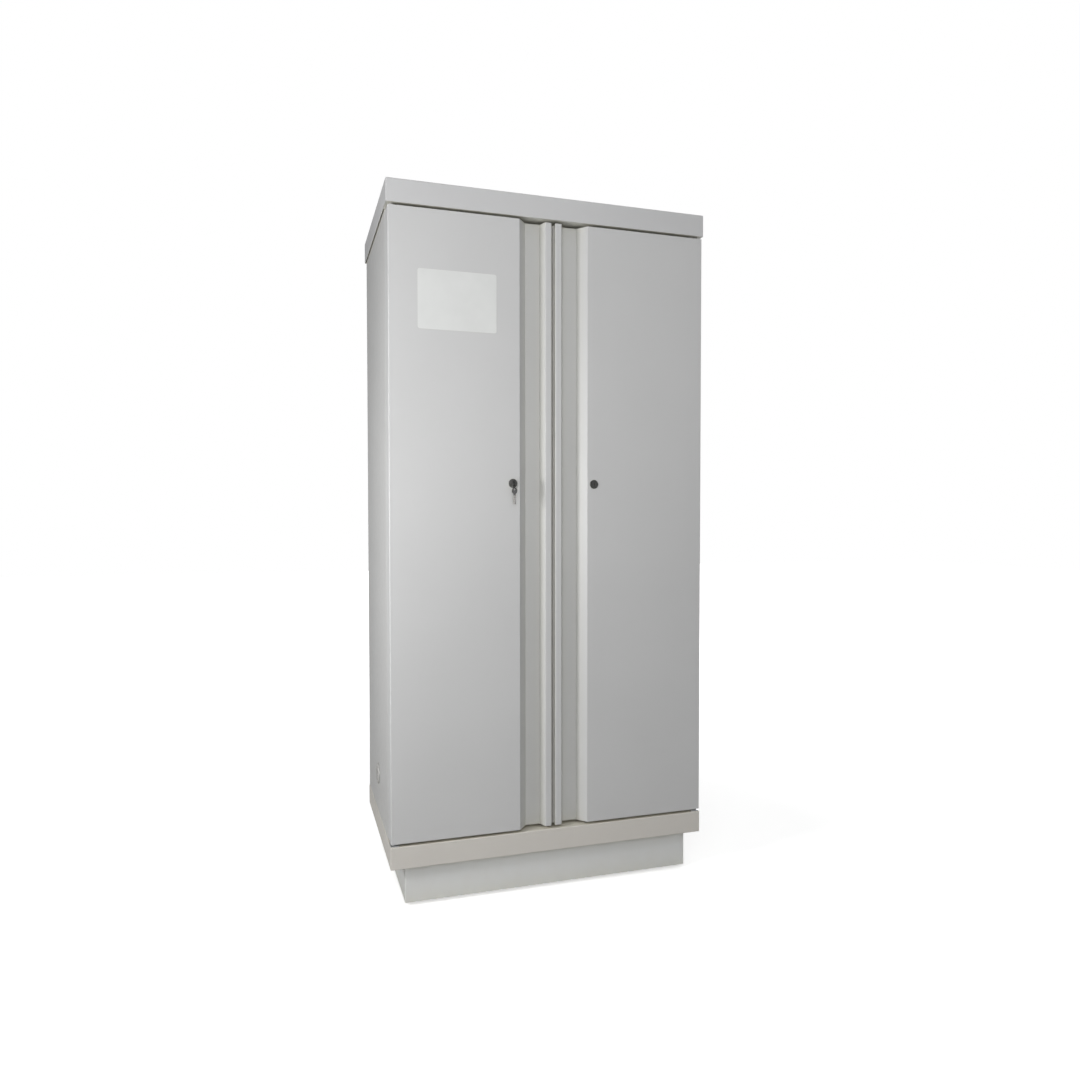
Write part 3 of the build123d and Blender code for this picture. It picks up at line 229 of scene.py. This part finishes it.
def headed_key(name, axis, sign, level):
    """Plated key with a black moulded head, which lies beyond a level on one axis."""
    blade_colour, head_colour, border = (0.17, 0.167, 0.16), (0.012, 0.012, 0.012), 0.0004
    material, tree, shader, at = blank_material(name)
    along = add_node(tree, "ShaderNodeMath", operation="MULTIPLY_ADD")
    along.inputs[1].default_value = sign
    along.inputs[2].default_value = -sign * level
    tree.links.new(part_of_place(tree, at, axis), along.inputs[0])
    head = spread(tree, along.outputs[0], (0.0, border), FULL)
    marks = noise(tree, at, scale=160.0, detail=4.0, roughness=0.7)
    worn = spread(tree, marks, (0.35, 0.75), FULL)
    blade = blend(tree, worn, tinted(blade_colour, 0.75), tinted(blade_colour, 1.35))
    moulding = blend(tree, worn, head_colour, tinted(head_colour, 1.5))
    feed(tree, shader, Base_Color=blend(tree, head, blade, moulding),
         Metallic=spread(tree, head, FULL, (0.9, 0.0)),
         Roughness=spread(tree, marks, NOISE_SPAN, (0.34, 0.50)))
    bump(tree, shader, marks, strength=0.15, distance=0.0002)
    return material


def mineral_board(name, colour, grain):
    """Pressed board or fibre mat: soft mottled face with a grain of loose fibres."""
    material, tree, shader, at = blank_material(name)
    tone = mottled(tree, noise(tree, at, scale=12.0, detail=5.0, roughness=0.6), colour, 0.88, 1.05)
    fibres = noise(tree, at, grain, detail=4.0, roughness=0.7, stretch=(1.0, 1.0, 0.22))
    tone = blend(tree, spread(tree, fibres, (0.5, 0.75), (0.0, 0.6)), tone, tinted(colour, 0.72))
    feed(tree, shader, Base_Color=tone)
    shader.inputs["Roughness"].default_value = 0.93
    bump(tree, shader, fibres, strength=0.5, distance=0.0015)
    return material


def soft_face(tree, shader, at, tone, bloom, rough):
    """Give a rubbery face its colour, its roughness and its fine grain."""
    feed(tree, shader, Base_Color=tone, Roughness=spread(tree, bloom, NOISE_SPAN, rough))
    bump(tree, shader, noise(tree, at, scale=900.0, detail=2.0), strength=0.25, distance=0.0003)


def rubber(name, colour):
    """Soft black strip with a dusty bloom."""
    material, tree, shader, at = blank_material(name)
    bloom = noise(tree, at, scale=35.0, detail=5.0, roughness=0.65)
    tone = blend(tree, spread(tree, bloom, (0.45, 0.75), (0.0, 0.5)), colour, tinted(colour, 2.6))
    soft_face(tree, shader, at, tone, bloom, (0.62, 0.82))
    return material


def door_seal(name, reach):
    """Dark swelling strips round a door, and the paler soft gasket behind the meeting lips."""
    edge_colour, middle_colour, border = (0.06, 0.057, 0.054), (0.44, 0.435, 0.41), 0.0002
    material, tree, shader, at = blank_material(name)
    away = add_node(tree, "ShaderNodeMath", operation="ABSOLUTE")
    tree.links.new(part_of_place(tree, at, "X"), away.inputs[0])
    outside = spread(tree, away.outputs[0], (reach, reach + border), FULL)
    tone = blend(tree, outside, middle_colour, edge_colour)
    bloom = noise(tree, at, scale=35.0, detail=5.0, roughness=0.65)
    dusty = spread(tree, bloom, (0.4, 0.75), (0.0, 0.3))
    tone = blend(tree, dusty, tone, tinted(middle_colour, 0.8))
    soft_face(tree, shader, at, tone, bloom, (0.6, 0.8))
    return material


def moulded(name, colour, rough):
    """Moulded plastic with a spark-eroded grain."""
    material, tree, shader, at = blank_material(name)
    clouds = noise(tree, at, scale=20.0, detail=3.0)
    feed(tree, shader, Base_Color=mottled(tree, clouds, colour, 0.93, 1.05),
         Roughness=spread(tree, clouds, NOISE_SPAN, (rough - 0.05, rough + 0.08)))
    bump(tree, shader, noise(tree, at, scale=1500.0, detail=2.0), strength=0.3, distance=0.0002)
    return material


def bare_film(name):
    """White film with a slow change of tone, slightly glossy, with a faint unevenness."""
    material, tree, shader, at = blank_material(name)
    clouds = noise(tree, at, scale=14.0, detail=3.0)
    full = spread(tree, clouds, NOISE_SPAN, FULL)
    feed(tree, shader, Base_Color=blend(tree, full, (0.655, 0.665, 0.655), (0.69, 0.70, 0.69)),
         Roughness=spread(tree, clouds, NOISE_SPAN, (0.38, 0.46)))
    shader.inputs["Specular IOR Level"].default_value = 0.5
    bump(tree, shader, noise(tree, at, scale=24.0, detail=1.0), strength=0.08, distance=0.0005)
    return material


def studio_floor(name):
    """Pale studio floor that glows softly, more so far away, and throws little light back up."""
    material, tree, shader, at = blank_material(name)
    seen = add_node(tree, "ShaderNodeLightPath").outputs["Is Camera Ray"]
    clouds = spread(tree, noise(tree, at, scale=0.8, detail=4.0), NOISE_SPAN, FULL)
    tone = blend(tree, clouds, (0.84, 0.84, 0.835), (0.88, 0.88, 0.88))
    tone = blend(tree, seen, (0.45, 0.45, 0.445), tone)
    away = add_node(tree, "ShaderNodeVectorMath", operation="LENGTH")
    tree.links.new(at, away.inputs[0])
    glow = spread(tree, away.outputs["Value"], (1.0, 4.0), (0.36, 0.95))
    glow = multiply(tree, glow, spread(tree, seen, FULL, (0.2, 1.5)))
    feed(tree, shader, Base_Color=tone, Emission_Strength=glow)
    shader.inputs["Roughness"].default_value = 0.8
    shader.inputs["Emission Color"].default_value = (1.0, 1.0, 1.0, 1.0)
    return material


door_finish = enamel("door_enamel", (0.568, 0.570, 0.570), rough=0.47, wear_and_shade=0.15)
casing_finish = enamel("casing_enamel", (0.545, 0.546, 0.540), rough=0.46)
cap_finish = enamel("cap_enamel", (0.568, 0.570, 0.574), rough=0.47)
rail_finish = enamel("rail_enamel", (0.645, 0.621, 0.581), rough=0.49)
plinth_finish = enamel("plinth_enamel", (0.732, 0.745, 0.745), rough=0.46, wear_and_shade=0.8)
inside_finish = enamel("shelf_enamel", (0.69, 0.69, 0.675), rough=0.38, wear_and_shade=0.6)
zinc_finish = zinc("zinc_plate")
lining_finish = zinc("lining_plate", (0.70, 0.71, 0.71), rough=0.52, metallic=0.55)
duct_finish = zinc("duct_plate", (0.62, 0.63, 0.64), rough=0.33)
fixing_finish = machined("fixing_steel", (0.56, 0.56, 0.55), rough=0.34)
lock_finish = machined("blackened_lock", (0.10, 0.10, 0.096), rough=0.44)
plug_finish = machined("blackened_plug", (0.12, 0.12, 0.115), rough=0.42)
key_head_length = 0.018
spare_key_head_length = 0.0207
key_finish = headed_key("key_plating", "Y", -1.0, box["key"][LOW][Y] + key_head_length)
spare_key_finish = headed_key(
    "spare_key_plating", "Z", 1.0, box["spare_key"][HIGH][Z] - spare_key_head_length
)
ring_finish = machined("ring_steel", (0.20, 0.20, 0.195), rough=0.30, turned=False)
rod_finish = machined("rod_steel", (0.50, 0.50, 0.50), rough=0.32)
fibre_finish = mineral_board("fibre_mat", (0.74, 0.69, 0.53), grain=140.0)
board_finish = mineral_board("mineral_board", (0.74, 0.73, 0.69), grain=260.0)
seal_finish = rubber("seal_strip", (0.05, 0.047, 0.045))
middle_gasket_reach = 0.0058
door_seal_finish = door_seal("door_seal", middle_gasket_reach)
pad_finish = rubber("foot_rubber", (0.035, 0.035, 0.037))
grille_finish = moulded("grille_plastic", (0.50, 0.495, 0.48), rough=0.5)
film_finish = bare_film("blank_film")

# Nodes that aren't listed here are plain zinc-plated steel
nodes_of_finish = (
    (cap_finish, "top_cap"),
    (rail_finish, "base_pan"),
    (casing_finish, "side_panel_left side_panel_right back_panel front_frame header_beam"),
    (plinth_finish, "plinth_front plinth_rear plinth_sides"),
    (inside_finish, "shelf_lower shelf_middle shelf_upper sump_grate"),
    (lining_finish, "side_linings back_lining top_lining floor_lining"),
    (fibre_finish, "base_insulation side_insulation back_insulation top_insulation"),
    (duct_finish, "exhaust_collar exhaust_flap inlet_collar inlet_flap"),
    (grille_finish, "inlet_grille"),
    (key_finish, "key"),
    (spare_key_finish, "spare_key"),
    (ring_finish, "key_ring"),
    (door_finish, "door_skin_left door_skin_right door_cover_left door_cover_right"),
    (board_finish, "door_core_left door_core_right"),
    (door_seal_finish, "door_seals_left door_seals_right"),
    (fixing_finish, "edge_fittings_left edge_fittings_right"),
    (lock_finish, "lock_left lock_right"),
    (plug_finish, "lock_plug_left lock_plug_right"),
    (rod_finish, "upper_rod_left upper_rod_right lower_rod_left lower_rod_right"),
)
finish_of = {name: finish for finish, names in nodes_of_finish for name in names.split()}
for name, cad_node in nodes.items():
    cad_node.data.materials.clear()
    cad_node.data.materials.append(finish_of.get(name, zinc_finish))


# Piece helpers: every piece is built where it belongs, in the frame of the whole part

def bridge(mesh_edit, low_ring, high_ring):
    """Join two rings of vertices by a band of faces."""
    count = len(low_ring)
    for index in range(count):
        after = (index + 1) % count
        mesh_edit.faces.new((low_ring[index], low_ring[after], high_ring[after], high_ring[index]))


def ring_points(count, radius, height, corners=None):
    """Return a level ring of points, round or with a number of corners."""
    points = []
    for index in range(count):
        angle = 2 * math.pi * index / count
        reach = radius
        if corners:
            part = 2 * math.pi / corners
            reach = radius * math.cos(part / 2) / math.cos((angle % part) - part / 2)
        points.append(Vector((reach * math.cos(angle), reach * math.sin(angle), height)))
    return points


def lathe(mesh_edit, matrix, profile, count, hollow=False):
    """Add rings of (radius, height) or (radius, height, corners), with two end faces or as a tube."""
    rings = [
        [mesh_edit.verts.new(matrix @ point) for point in ring_points(count, *row)]
        for row in profile
    ]
    for low_ring, high_ring in zip(rings, rings[1:]):
        bridge(mesh_edit, low_ring, high_ring)
    if hollow:
        bridge(mesh_edit, rings[-1], rings[0])
    else:
        mesh_edit.faces.new(rings[-1])
        mesh_edit.faces.new(tuple(reversed(rings[0])))


def piece(name, mesh_edit, material, body, sharp=35.0):
    """Add one piece that rides on a body, smooth except at edges sharper than the angle."""
    mesh = bpy.data.meshes.new(name)
    mesh_edit.normal_update()
    mesh_edit.to_mesh(mesh)
    mesh_edit.free()
    for face in mesh.polygons:
        face.use_smooth = True
    mesh.set_sharp_from_angle(angle=math.radians(sharp))
    mesh.materials.append(material)
    obj = bpy.data.objects.new(name, mesh)
    bpy.context.scene.collection.objects.link(obj)
    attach(obj, body)
    return obj


def upright(origin, normal, turn=0.0):
    """Return the matrix that stands +Z of a small part on a surface at origin."""
    spin = Vector(normal).to_track_quat("Z", "Y").to_matrix().to_4x4()
    return Matrix.Translation(origin) @ spin @ Matrix.Rotation(turn, 4, "Z")


def strip(mesh_edit, low, high, edge):
    """Add a box between two corners, its edges rounded by a bevel."""
    low, high = Vector(low), Vector(high)
    made = bmesh.ops.create_cube(mesh_edit, size=1.0)
    for vertex in made["verts"]:
        vertex.co = Vector((low[i] + (vertex.co[i] + 0.5) * (high[i] - low[i]) for i in range(3)))
    edges = list({e for v in made["verts"] for e in v.link_edges})
    bmesh.ops.bevel(mesh_edit, geom=edges, offset=edge, segments=2, affect="EDGES", profile=0.6)


def run(start, end, count):
    """Return evenly spread numbers from start to end, both included."""
    return [start + (end - start) * index / (count - 1) for index in range(count)]


def coil(name, middle, radius, turns, rise, wire, across, body, material, steps):
    """Wind a wire about an axis; wire holds its half thicknesses outwards and along the axis."""
    wire_corners = 8
    axis = Vector(across).normalized()
    first = axis.orthogonal().normalized()
    second = axis.cross(first)
    mesh_edit = bmesh.new()
    rings = []
    total = int(turns * steps)
    for index in range(total + 1):
        angle = 2 * math.pi * turns * index / total
        out = first * math.cos(angle) + second * math.sin(angle)
        spot = Vector(middle) + out * radius + axis * rise * (index / total - 0.5)
        ring = []
        for corner in range(wire_corners):
            around = 2 * math.pi * corner / wire_corners
            offset = out * math.cos(around) * wire[0] + axis * math.sin(around) * wire[1]
            ring.append(mesh_edit.verts.new(spot + offset))
        rings.append(ring)
    for low_ring, high_ring in zip(rings, rings[1:]):
        bridge(mesh_edit, low_ring, high_ring)
    mesh_edit.faces.new(tuple(reversed(rings[0])))
    mesh_edit.faces.new(rings[-1])
    bmesh.ops.recalc_face_normals(mesh_edit, faces=mesh_edit.faces)
    return piece(name, mesh_edit, material, body, sharp=60.0)


# Heads of fixings: ring count, radius share of the foot, then (radius, height) shares from the
# foot up, with the number of corners where a ring isn't round
HEAD_SHARES = {
    "socket_screw": (24, 0.98, (
        (1.0, 0.15), (0.9, 0.68), (0.68, 0.95), (0.52, 1.0), (0.47, 0.97, 6), (0.43, 0.3, 6), (0.1, 0.24),
    )),
    "hex_screw": (24, 1.28, (
        (1.3, 0.16), (1.12, 0.28), (1.0, 0.3, 6), (1.0, 0.86, 6), (0.86, 1.0), (0.5, 0.93), (0.1, 0.9),
    )),
    "rivet": (18, 1.0, (
        (1.0, 0.22), (0.86, 0.66), (0.6, 0.94), (0.42, 1.0), (0.38, 0.62), (0.1, 0.58),
    )),
}
HEAD_SINK = 0.0002  # how far a head's foot reaches into the sheet
HEAD_TURN = 0.7  # angle from one head to the next in a row, in radians


def fixings(name, kind, spots, normal, radius, height, body="carcass"):
    """Add one object that holds a row of equal heads on one surface direction."""
    count, foot, shares = HEAD_SHARES[kind]
    profile = [(radius * foot, -HEAD_SINK)]
    profile += [(radius * across, height * up, *corners) for across, up, *corners in shares]
    mesh_edit = bmesh.new()
    for index, spot in enumerate(spots):
        lathe(mesh_edit, upright(spot, normal, turn=HEAD_TURN * index), profile, count)
    piece(name, mesh_edit, fixing_finish, body)


# Casing: rivets and screws

sheet = 0.0015
rear_return_y = box["side_panel_left"][HIGH][Y]
back_sheet_y = box["back_panel"][LOW][Y] + sheet
plinth_screw_z = 0.068

back_row_x = 0.447
back_row_heights = run(0.206, 1.86, 12)
fixings(
    "back_rivets", "rivet",
    [(x, rear_return_y, z) for x in (-back_row_x, back_row_x) for z in back_row_heights],
    TO_REAR, radius=0.0036, height=0.0014,
)
back_edge_heights = (0.198, 1.866)
back_edge_reach = 0.40
fixings(
    "back_edge_rivets", "rivet",
    [(x, back_sheet_y, z) for z in back_edge_heights for x in run(-back_edge_reach, back_edge_reach, 9)],
    TO_REAR, radius=0.0032, height=0.0013,
)
cap_screw_reach = 0.41
cap_screw_z = 1.912
fixings(
    "cap_screws", "hex_screw",
    [(x, box["top_cap"][HIGH][Y], cap_screw_z) for x in run(-cap_screw_reach, cap_screw_reach, 3)],
    TO_REAR, radius=0.0042, height=0.0038,
)
rail_screw_places = (-0.40, -0.13, 0.13, 0.40)
rail_screw_z = 0.143
fixings(
    "rail_rear_screws", "socket_screw",
    [(x, box["base_pan"][HIGH][Y], rail_screw_z) for x in rail_screw_places],
    TO_REAR, radius=0.0045, height=0.0024,
)
plinth_rear_screw_x = 0.36
fixings(
    "plinth_rear_screws", "hex_screw",
    [(x, box["plinth_rear"][HIGH][Y], plinth_screw_z) for x in (-plinth_rear_screw_x, plinth_rear_screw_x)],
    TO_REAR, radius=0.0042, height=0.0038,
)
plinth_side_screw_places = (-0.17, 0.155)
for side, hand in SIDES.items():
    fixings(
        f"plinth_screws_{side}", "socket_screw",
        [(hand * box["plinth_sides"][HIGH][X], y, plinth_screw_z) for y in plinth_side_screw_places],
        (hand, 0, 0), radius=0.0045, height=0.0022,
    )
collar_rivet_circle = 0.0575
collar_rivet_count = 6
collar_rivet_start = 0.26
collar_rivet_last = collar_rivet_start + 2 * math.pi * (collar_rivet_count - 1) / collar_rivet_count
fixings(
    "collar_rivets", "rivet",
    [
        (
            collar_rivet_circle * math.cos(angle),
            centre("exhaust_flap", Y) + collar_rivet_circle * math.sin(angle),
            box["top_cap"][HIGH][Z] + sheet,
        )
        for angle in run(collar_rivet_start, collar_rivet_last, collar_rivet_count)
    ],
    TO_TOP, radius=0.003, height=0.0012,
)
grille_screw_rise = 0.0265
fixings(
    "grille_screws", "socket_screw",
    [
        (box["inlet_grille"][LOW][X], centre("inlet_flap", Y), centre("inlet_flap", Z) + rise)
        for rise in (-grille_screw_rise, grille_screw_rise)
    ],
    TO_LEFT, radius=0.0018, height=0.0004,
)
shelf_rail_depth = 0.010
shelf_rail_face_x = box["shelf_rails"][HIGH][X] - shelf_rail_depth
shelf_rail_places = (-0.15, 0.17)
shelf_rail_screw_heights = (0.45, 0.85, 1.25, 1.65)
for side, hand in SIDES.items():
    fixings(
        f"rail_screws_{side}", "socket_screw",
        [(hand * shelf_rail_face_x, y, z) for y in shelf_rail_places for z in shelf_rail_screw_heights],
        (-hand, 0, 0), radius=0.0036, height=0.0016,
    )
lining_row_x = 0.385
lining_row_heights = run(0.30, 1.78, 7)
fixings(
    "lining_rivets", "rivet",
    [
        (x, box["back_lining"][LOW][Y], z)
        for x in (-lining_row_x, lining_row_x)
        for z in lining_row_heights
    ],
    TO_FRONT, radius=0.003, height=0.0012,
)

# Sealing strips on the front frame, which the shut doors press on

strip_back_y = box["front_frame"][LOW][Y]
strip_depth = 0.0012
strip_front_y = strip_back_y - strip_depth
strip_edge = 0.0004
upright_strip_span = (0.4125, 0.4275)
upright_strip_ends = (0.206, 1.838)
level_strip_reach = 0.409
level_strip_spans = ((0.182, 0.197), (1.842, 1.857))
edit = bmesh.new()
for hand in SIDES.values():
    near, far = sorted(hand * x for x in upright_strip_span)
    strip(
        edit, (near, strip_front_y, upright_strip_ends[0]), (far, strip_back_y, upright_strip_ends[1]),
        strip_edge,
    )
for low, high in level_strip_spans:
    strip(edit, (-level_strip_reach, strip_front_y, low), (level_strip_reach, strip_back_y, high), strip_edge)
piece("frame_strips", edit, seal_finish, "carcass")


# Feet: rubber treads and the screw threads under the locking nuts

thread_middle_z = 0.0403
thread_length = 0.0535
thread_radius = 0.0051
thread_wire = (0.00035, 0.0005)
tread_profile = (
    (0.0201, 0.0004), (0.0222, 0.0024), (0.0224, 0.0034), (0.0224, 0.0058), (0.0222, 0.0066),
    (0.0205, 0.0072),
)
for foot in ("foot_front_left", "foot_front_right", "foot_rear_left", "foot_rear_right"):
    x, y = centre(foot, X), centre(foot, Y)
    coil(
        f"{foot}_thread", (x, y, thread_middle_z), thread_radius, turns=36, rise=thread_length,
        wire=thread_wire, across=TO_TOP, body=foot, material=rod_finish, steps=16,
    )
    edit = bmesh.new()
    lathe(edit, Matrix.Translation((x, y, 0.0)), tread_profile, 36)
    piece(f"{foot}_tread", edit, pad_finish, foot)


# Doors: screws of the rear covers and finish rings on the lock faces

cover_face_y = box["door_cover_left"][LOW][Y] + sheet
cover_outer_row_x = 0.414
cover_outer_row_heights = run(0.236, 1.81, 9)
cover_end_row_places = run(0.05, 0.37, 5)
cover_end_row_heights = (0.2115, 1.84)
lock_ring_profile = (
    (0.0094, -0.0003), (0.0094, 0.0002), (0.0092, 0.00035), (0.0078, 0.00035), (0.0076, 0.0002),
    (0.0076, -0.0003),
)
for side, hand in SIDES.items():
    door = f"{side}_door"
    rows = [(hand * cover_outer_row_x, cover_face_y, z) for z in cover_outer_row_heights]
    rows += [(hand * x, cover_face_y, z) for z in cover_end_row_heights for x in cover_end_row_places]
    fixings(f"cover_screws_{side}", "socket_screw", rows, TO_REAR, radius=0.0034, height=0.0016, body=door)
    lock = f"lock_{side}"
    face_spot = (centre(lock, X), box[lock][LOW][Y], centre(lock, Z))
    edit = bmesh.new()
    lathe(edit, upright(face_spot, TO_FRONT), lock_ring_profile, 48)
    piece(f"lock_face_ring_{side}", edit, plug_finish, door)


# Bare film on the left door, a little proud of the skin and reaching into it

skin_front_y = box["door_skin_left"][LOW][Y]
film_thickness, film_sink = 0.00035, 0.0001
film_low = Vector((-0.382, skin_front_y - film_thickness, 1.562))
film_high = Vector((-0.166, skin_front_y + film_sink, 1.721))
film_corner = 0.006
corner_steps = 6
outline = []
for x, z, start in (
    (film_high.x, film_high.z, 0.0),
    (film_low.x, film_high.z, 0.5),
    (film_low.x, film_low.z, 1.0),
    (film_high.x, film_low.z, 1.5),
):
    middle_x = x - math.copysign(film_corner, x - (film_low.x + film_high.x) / 2)
    middle_z = z - math.copysign(film_corner, z - (film_low.z + film_high.z) / 2)
    for angle in run(math.pi * start, math.pi * (start + 0.5), corner_steps + 1):
        outline.append((middle_x + film_corner * math.cos(angle), middle_z + film_corner * math.sin(angle)))
edit = bmesh.new()
front_ring = [edit.verts.new((x, film_low.y, z)) for x, z in outline]
rear_ring = [edit.verts.new((x, film_high.y, z)) for x, z in outline]
edit.faces.new(front_ring)
edit.faces.new(tuple(reversed(rear_ring)))
bridge(edit, front_ring, rear_ring)
bmesh.ops.recalc_face_normals(edit, faces=edit.faces)
piece("blank_film", edit, film_finish, "left_door")


# Keys: raised rims and blade ribs, and a split ring in place of the plain one

def raised_ring(mesh_edit, matrix, inner, outer, height):
    """Add a low closed ring with slanted edges that stands on a surface."""
    sink, wall_share = 0.0001, 0.6
    profile = (
        (outer, -sink), (outer, height * wall_share), (outer - height, height),
        (inner + height, height), (inner, height * wall_share), (inner, -sink),
    )
    lathe(mesh_edit, matrix, profile, 32, hollow=True)


def key_relief(name, hole, along, normal, body, material):
    """Add the pressed rim of a bow and the rib of a blade to both faces of a key."""
    bow_rim, hole_rim = (0.0078, 0.0088, 0.0002), (0.0031, 0.0037, 0.00015)
    bow_offset = 0.004
    half_thickness = 0.0009
    rib_start, rib_end, rib_half_width = 0.0095, 0.034, 0.0006
    rib_low, rib_high, rib_taper_share = 0.00085, 0.00112, 0.1
    hole, along, normal = Vector(hole), Vector(along).normalized(), Vector(normal).normalized()
    bow = hole + along * bow_offset
    across = along.cross(normal).normalized()
    mesh_edit = bmesh.new()
    for face in (-1, 1):
        lift = normal * face
        raised_ring(mesh_edit, upright(bow + lift * half_thickness, lift), *bow_rim)
        raised_ring(mesh_edit, upright(hole + lift * half_thickness, lift), *hole_rim)
        start, end = bow + along * rib_start, bow + along * rib_end
        half = across * rib_half_width
        middle = (start + end) / 2
        corners = [start - half, start + half, end + half, end - half]
        low_ring = [mesh_edit.verts.new(c + lift * rib_low) for c in corners]
        high_ring = [mesh_edit.verts.new(c.lerp(middle, rib_taper_share) + lift * rib_high) for c in corners]
        mesh_edit.faces.new(high_ring)
        mesh_edit.faces.new(tuple(reversed(low_ring)))
        bridge(mesh_edit, low_ring, high_ring)
    bmesh.ops.recalc_face_normals(mesh_edit, faces=mesh_edit.faces)
    piece(name, mesh_edit, material, body)


ring_spot = Vector([centre("key_ring", axis) for axis in (X, Y, Z)])
hole_spot = Vector((ring_spot.x, ring_spot.y, centre("lock_left", Z)))
spare_hole_inset = 0.005
spare_hole_spot = Vector((ring_spot.x, ring_spot.y, box["spare_key"][HIGH][Z] - spare_hole_inset))
spare_turn = math.radians(35.0)
key_relief("key_relief", hole_spot, TO_REAR, (1, 0, 0), "key", key_finish)
key_relief(
    "spare_key_relief", spare_hole_spot, (0, 0, -1),
    (math.cos(spare_turn), math.sin(spare_turn), 0), "spare_key", spare_key_finish,
)
split_ring = coil(
    "split_ring", ring_spot, radius=0.0070, turns=1.95, rise=0.0008, wire=(0.0007, 0.0004),
    across=TO_REAR, body="key_ring", material=ring_finish, steps=48,
)
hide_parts("key_ring")


# Floor, light and camera

scene = bpy.context.scene
scene.view_settings.view_transform = "Standard"
scene.view_settings.look = "None"

floor_half_size = 14.0
floor_drop = 0.0005
floor_edit = bmesh.new()
bmesh.ops.create_grid(floor_edit, x_segments=2, y_segments=2, size=floor_half_size)
floor_mesh = bpy.data.meshes.new("floor")
floor_edit.to_mesh(floor_mesh)
floor_edit.free()
floor_mesh.materials.append(studio_floor("pale_floor"))
floor = bpy.data.objects.new("floor", floor_mesh)
scene.collection.objects.link(floor)
floor.location.z = -floor_drop

# The world looks white, and lights the object softly
world = bpy.data.worlds.new("studio")
scene.world = world
world.use_nodes = True
sky = world.node_tree
shown = sky.nodes["Background"]
shown.inputs["Color"].default_value = (1.0, 1.0, 1.0, 1.0)
shown.inputs["Strength"].default_value = 1.0
lit = add_node(sky, "ShaderNodeBackground")
lit.inputs["Color"].default_value = (0.97, 0.985, 1.0, 1.0)
lit.inputs["Strength"].default_value = 0.10
path = add_node(sky, "ShaderNodeLightPath")
either = add_node(sky, "ShaderNodeMixShader")
sky.links.new(path.outputs["Is Camera Ray"], either.inputs["Fac"])
sky.links.new(lit.outputs["Background"], either.inputs[1])
sky.links.new(shown.outputs["Background"], either.inputs[2])
sky.links.new(either.outputs["Shader"], sky.nodes["World Output"].inputs["Surface"])


def softbox(name, spot, target, width, height, power, colour):
    """Add a rectangular lamp that faces the target."""
    data = bpy.data.lights.new(name, "AREA")
    data.shape = "RECTANGLE"
    data.size = width
    data.size_y = height
    data.energy = power
    data.color = colour
    lamp = bpy.data.objects.new(name, data)
    scene.collection.objects.link(lamp)
    lamp.location = spot
    lamp.rotation_euler = (Vector(target) - Vector(spot)).to_track_quat("-Z", "Y").to_euler()


white = (1.0, 1.0, 1.0)
warm_white = (1.0, 0.998, 0.996)
softbox("key_light", (-0.6, -2.5, 1.6), (-0.1, -0.25, 1.2), 1.8, 1.8, 27.5, warm_white)
softbox("high_light", (0.6, -2.2, 2.9), (0.1, -0.25, 1.6), 1.4, 1.0, 3.6, white)
softbox("side_light", (-1.75, -0.8, 1.17), (-0.47, -0.1, 1.17), 0.4, 0.4, 21.0, warm_white)
softbox("top_light", (0.0, -0.6, 4.6), (0.0, 0.0, 0.0), 5.0, 5.0, 35.0, white)
softbox("back_light", (1.4, 3.2, 1.8), (0.0, 0.1, 1.0), 2.4, 2.0, 60.0, white)

# The camera fitted to the photograph
camera_data = bpy.data.cameras.new("camera")
camera_data.sensor_width = 36.0
camera_data.lens = 27.30
camera_data.clip_start = 0.05
camera_data.clip_end = 60.0
camera = bpy.data.objects.new("camera", camera_data)
scene.collection.objects.link(camera)
camera.location = (-0.7303, -2.4675, 1.0597)
yaw, pitch, roll = (math.radians(angle) for angle in (17.475, -1.601, -0.033))
forward = Vector((math.sin(yaw) * math.cos(pitch), math.cos(yaw) * math.cos(pitch), math.sin(pitch)))
look = forward.to_track_quat("-Z", "Y").to_matrix() @ Matrix.Rotation(roll, 3, "Z")
camera.rotation_mode = "QUATERNION"
camera.rotation_quaternion = look.to_quaternion()
scene.camera = camera
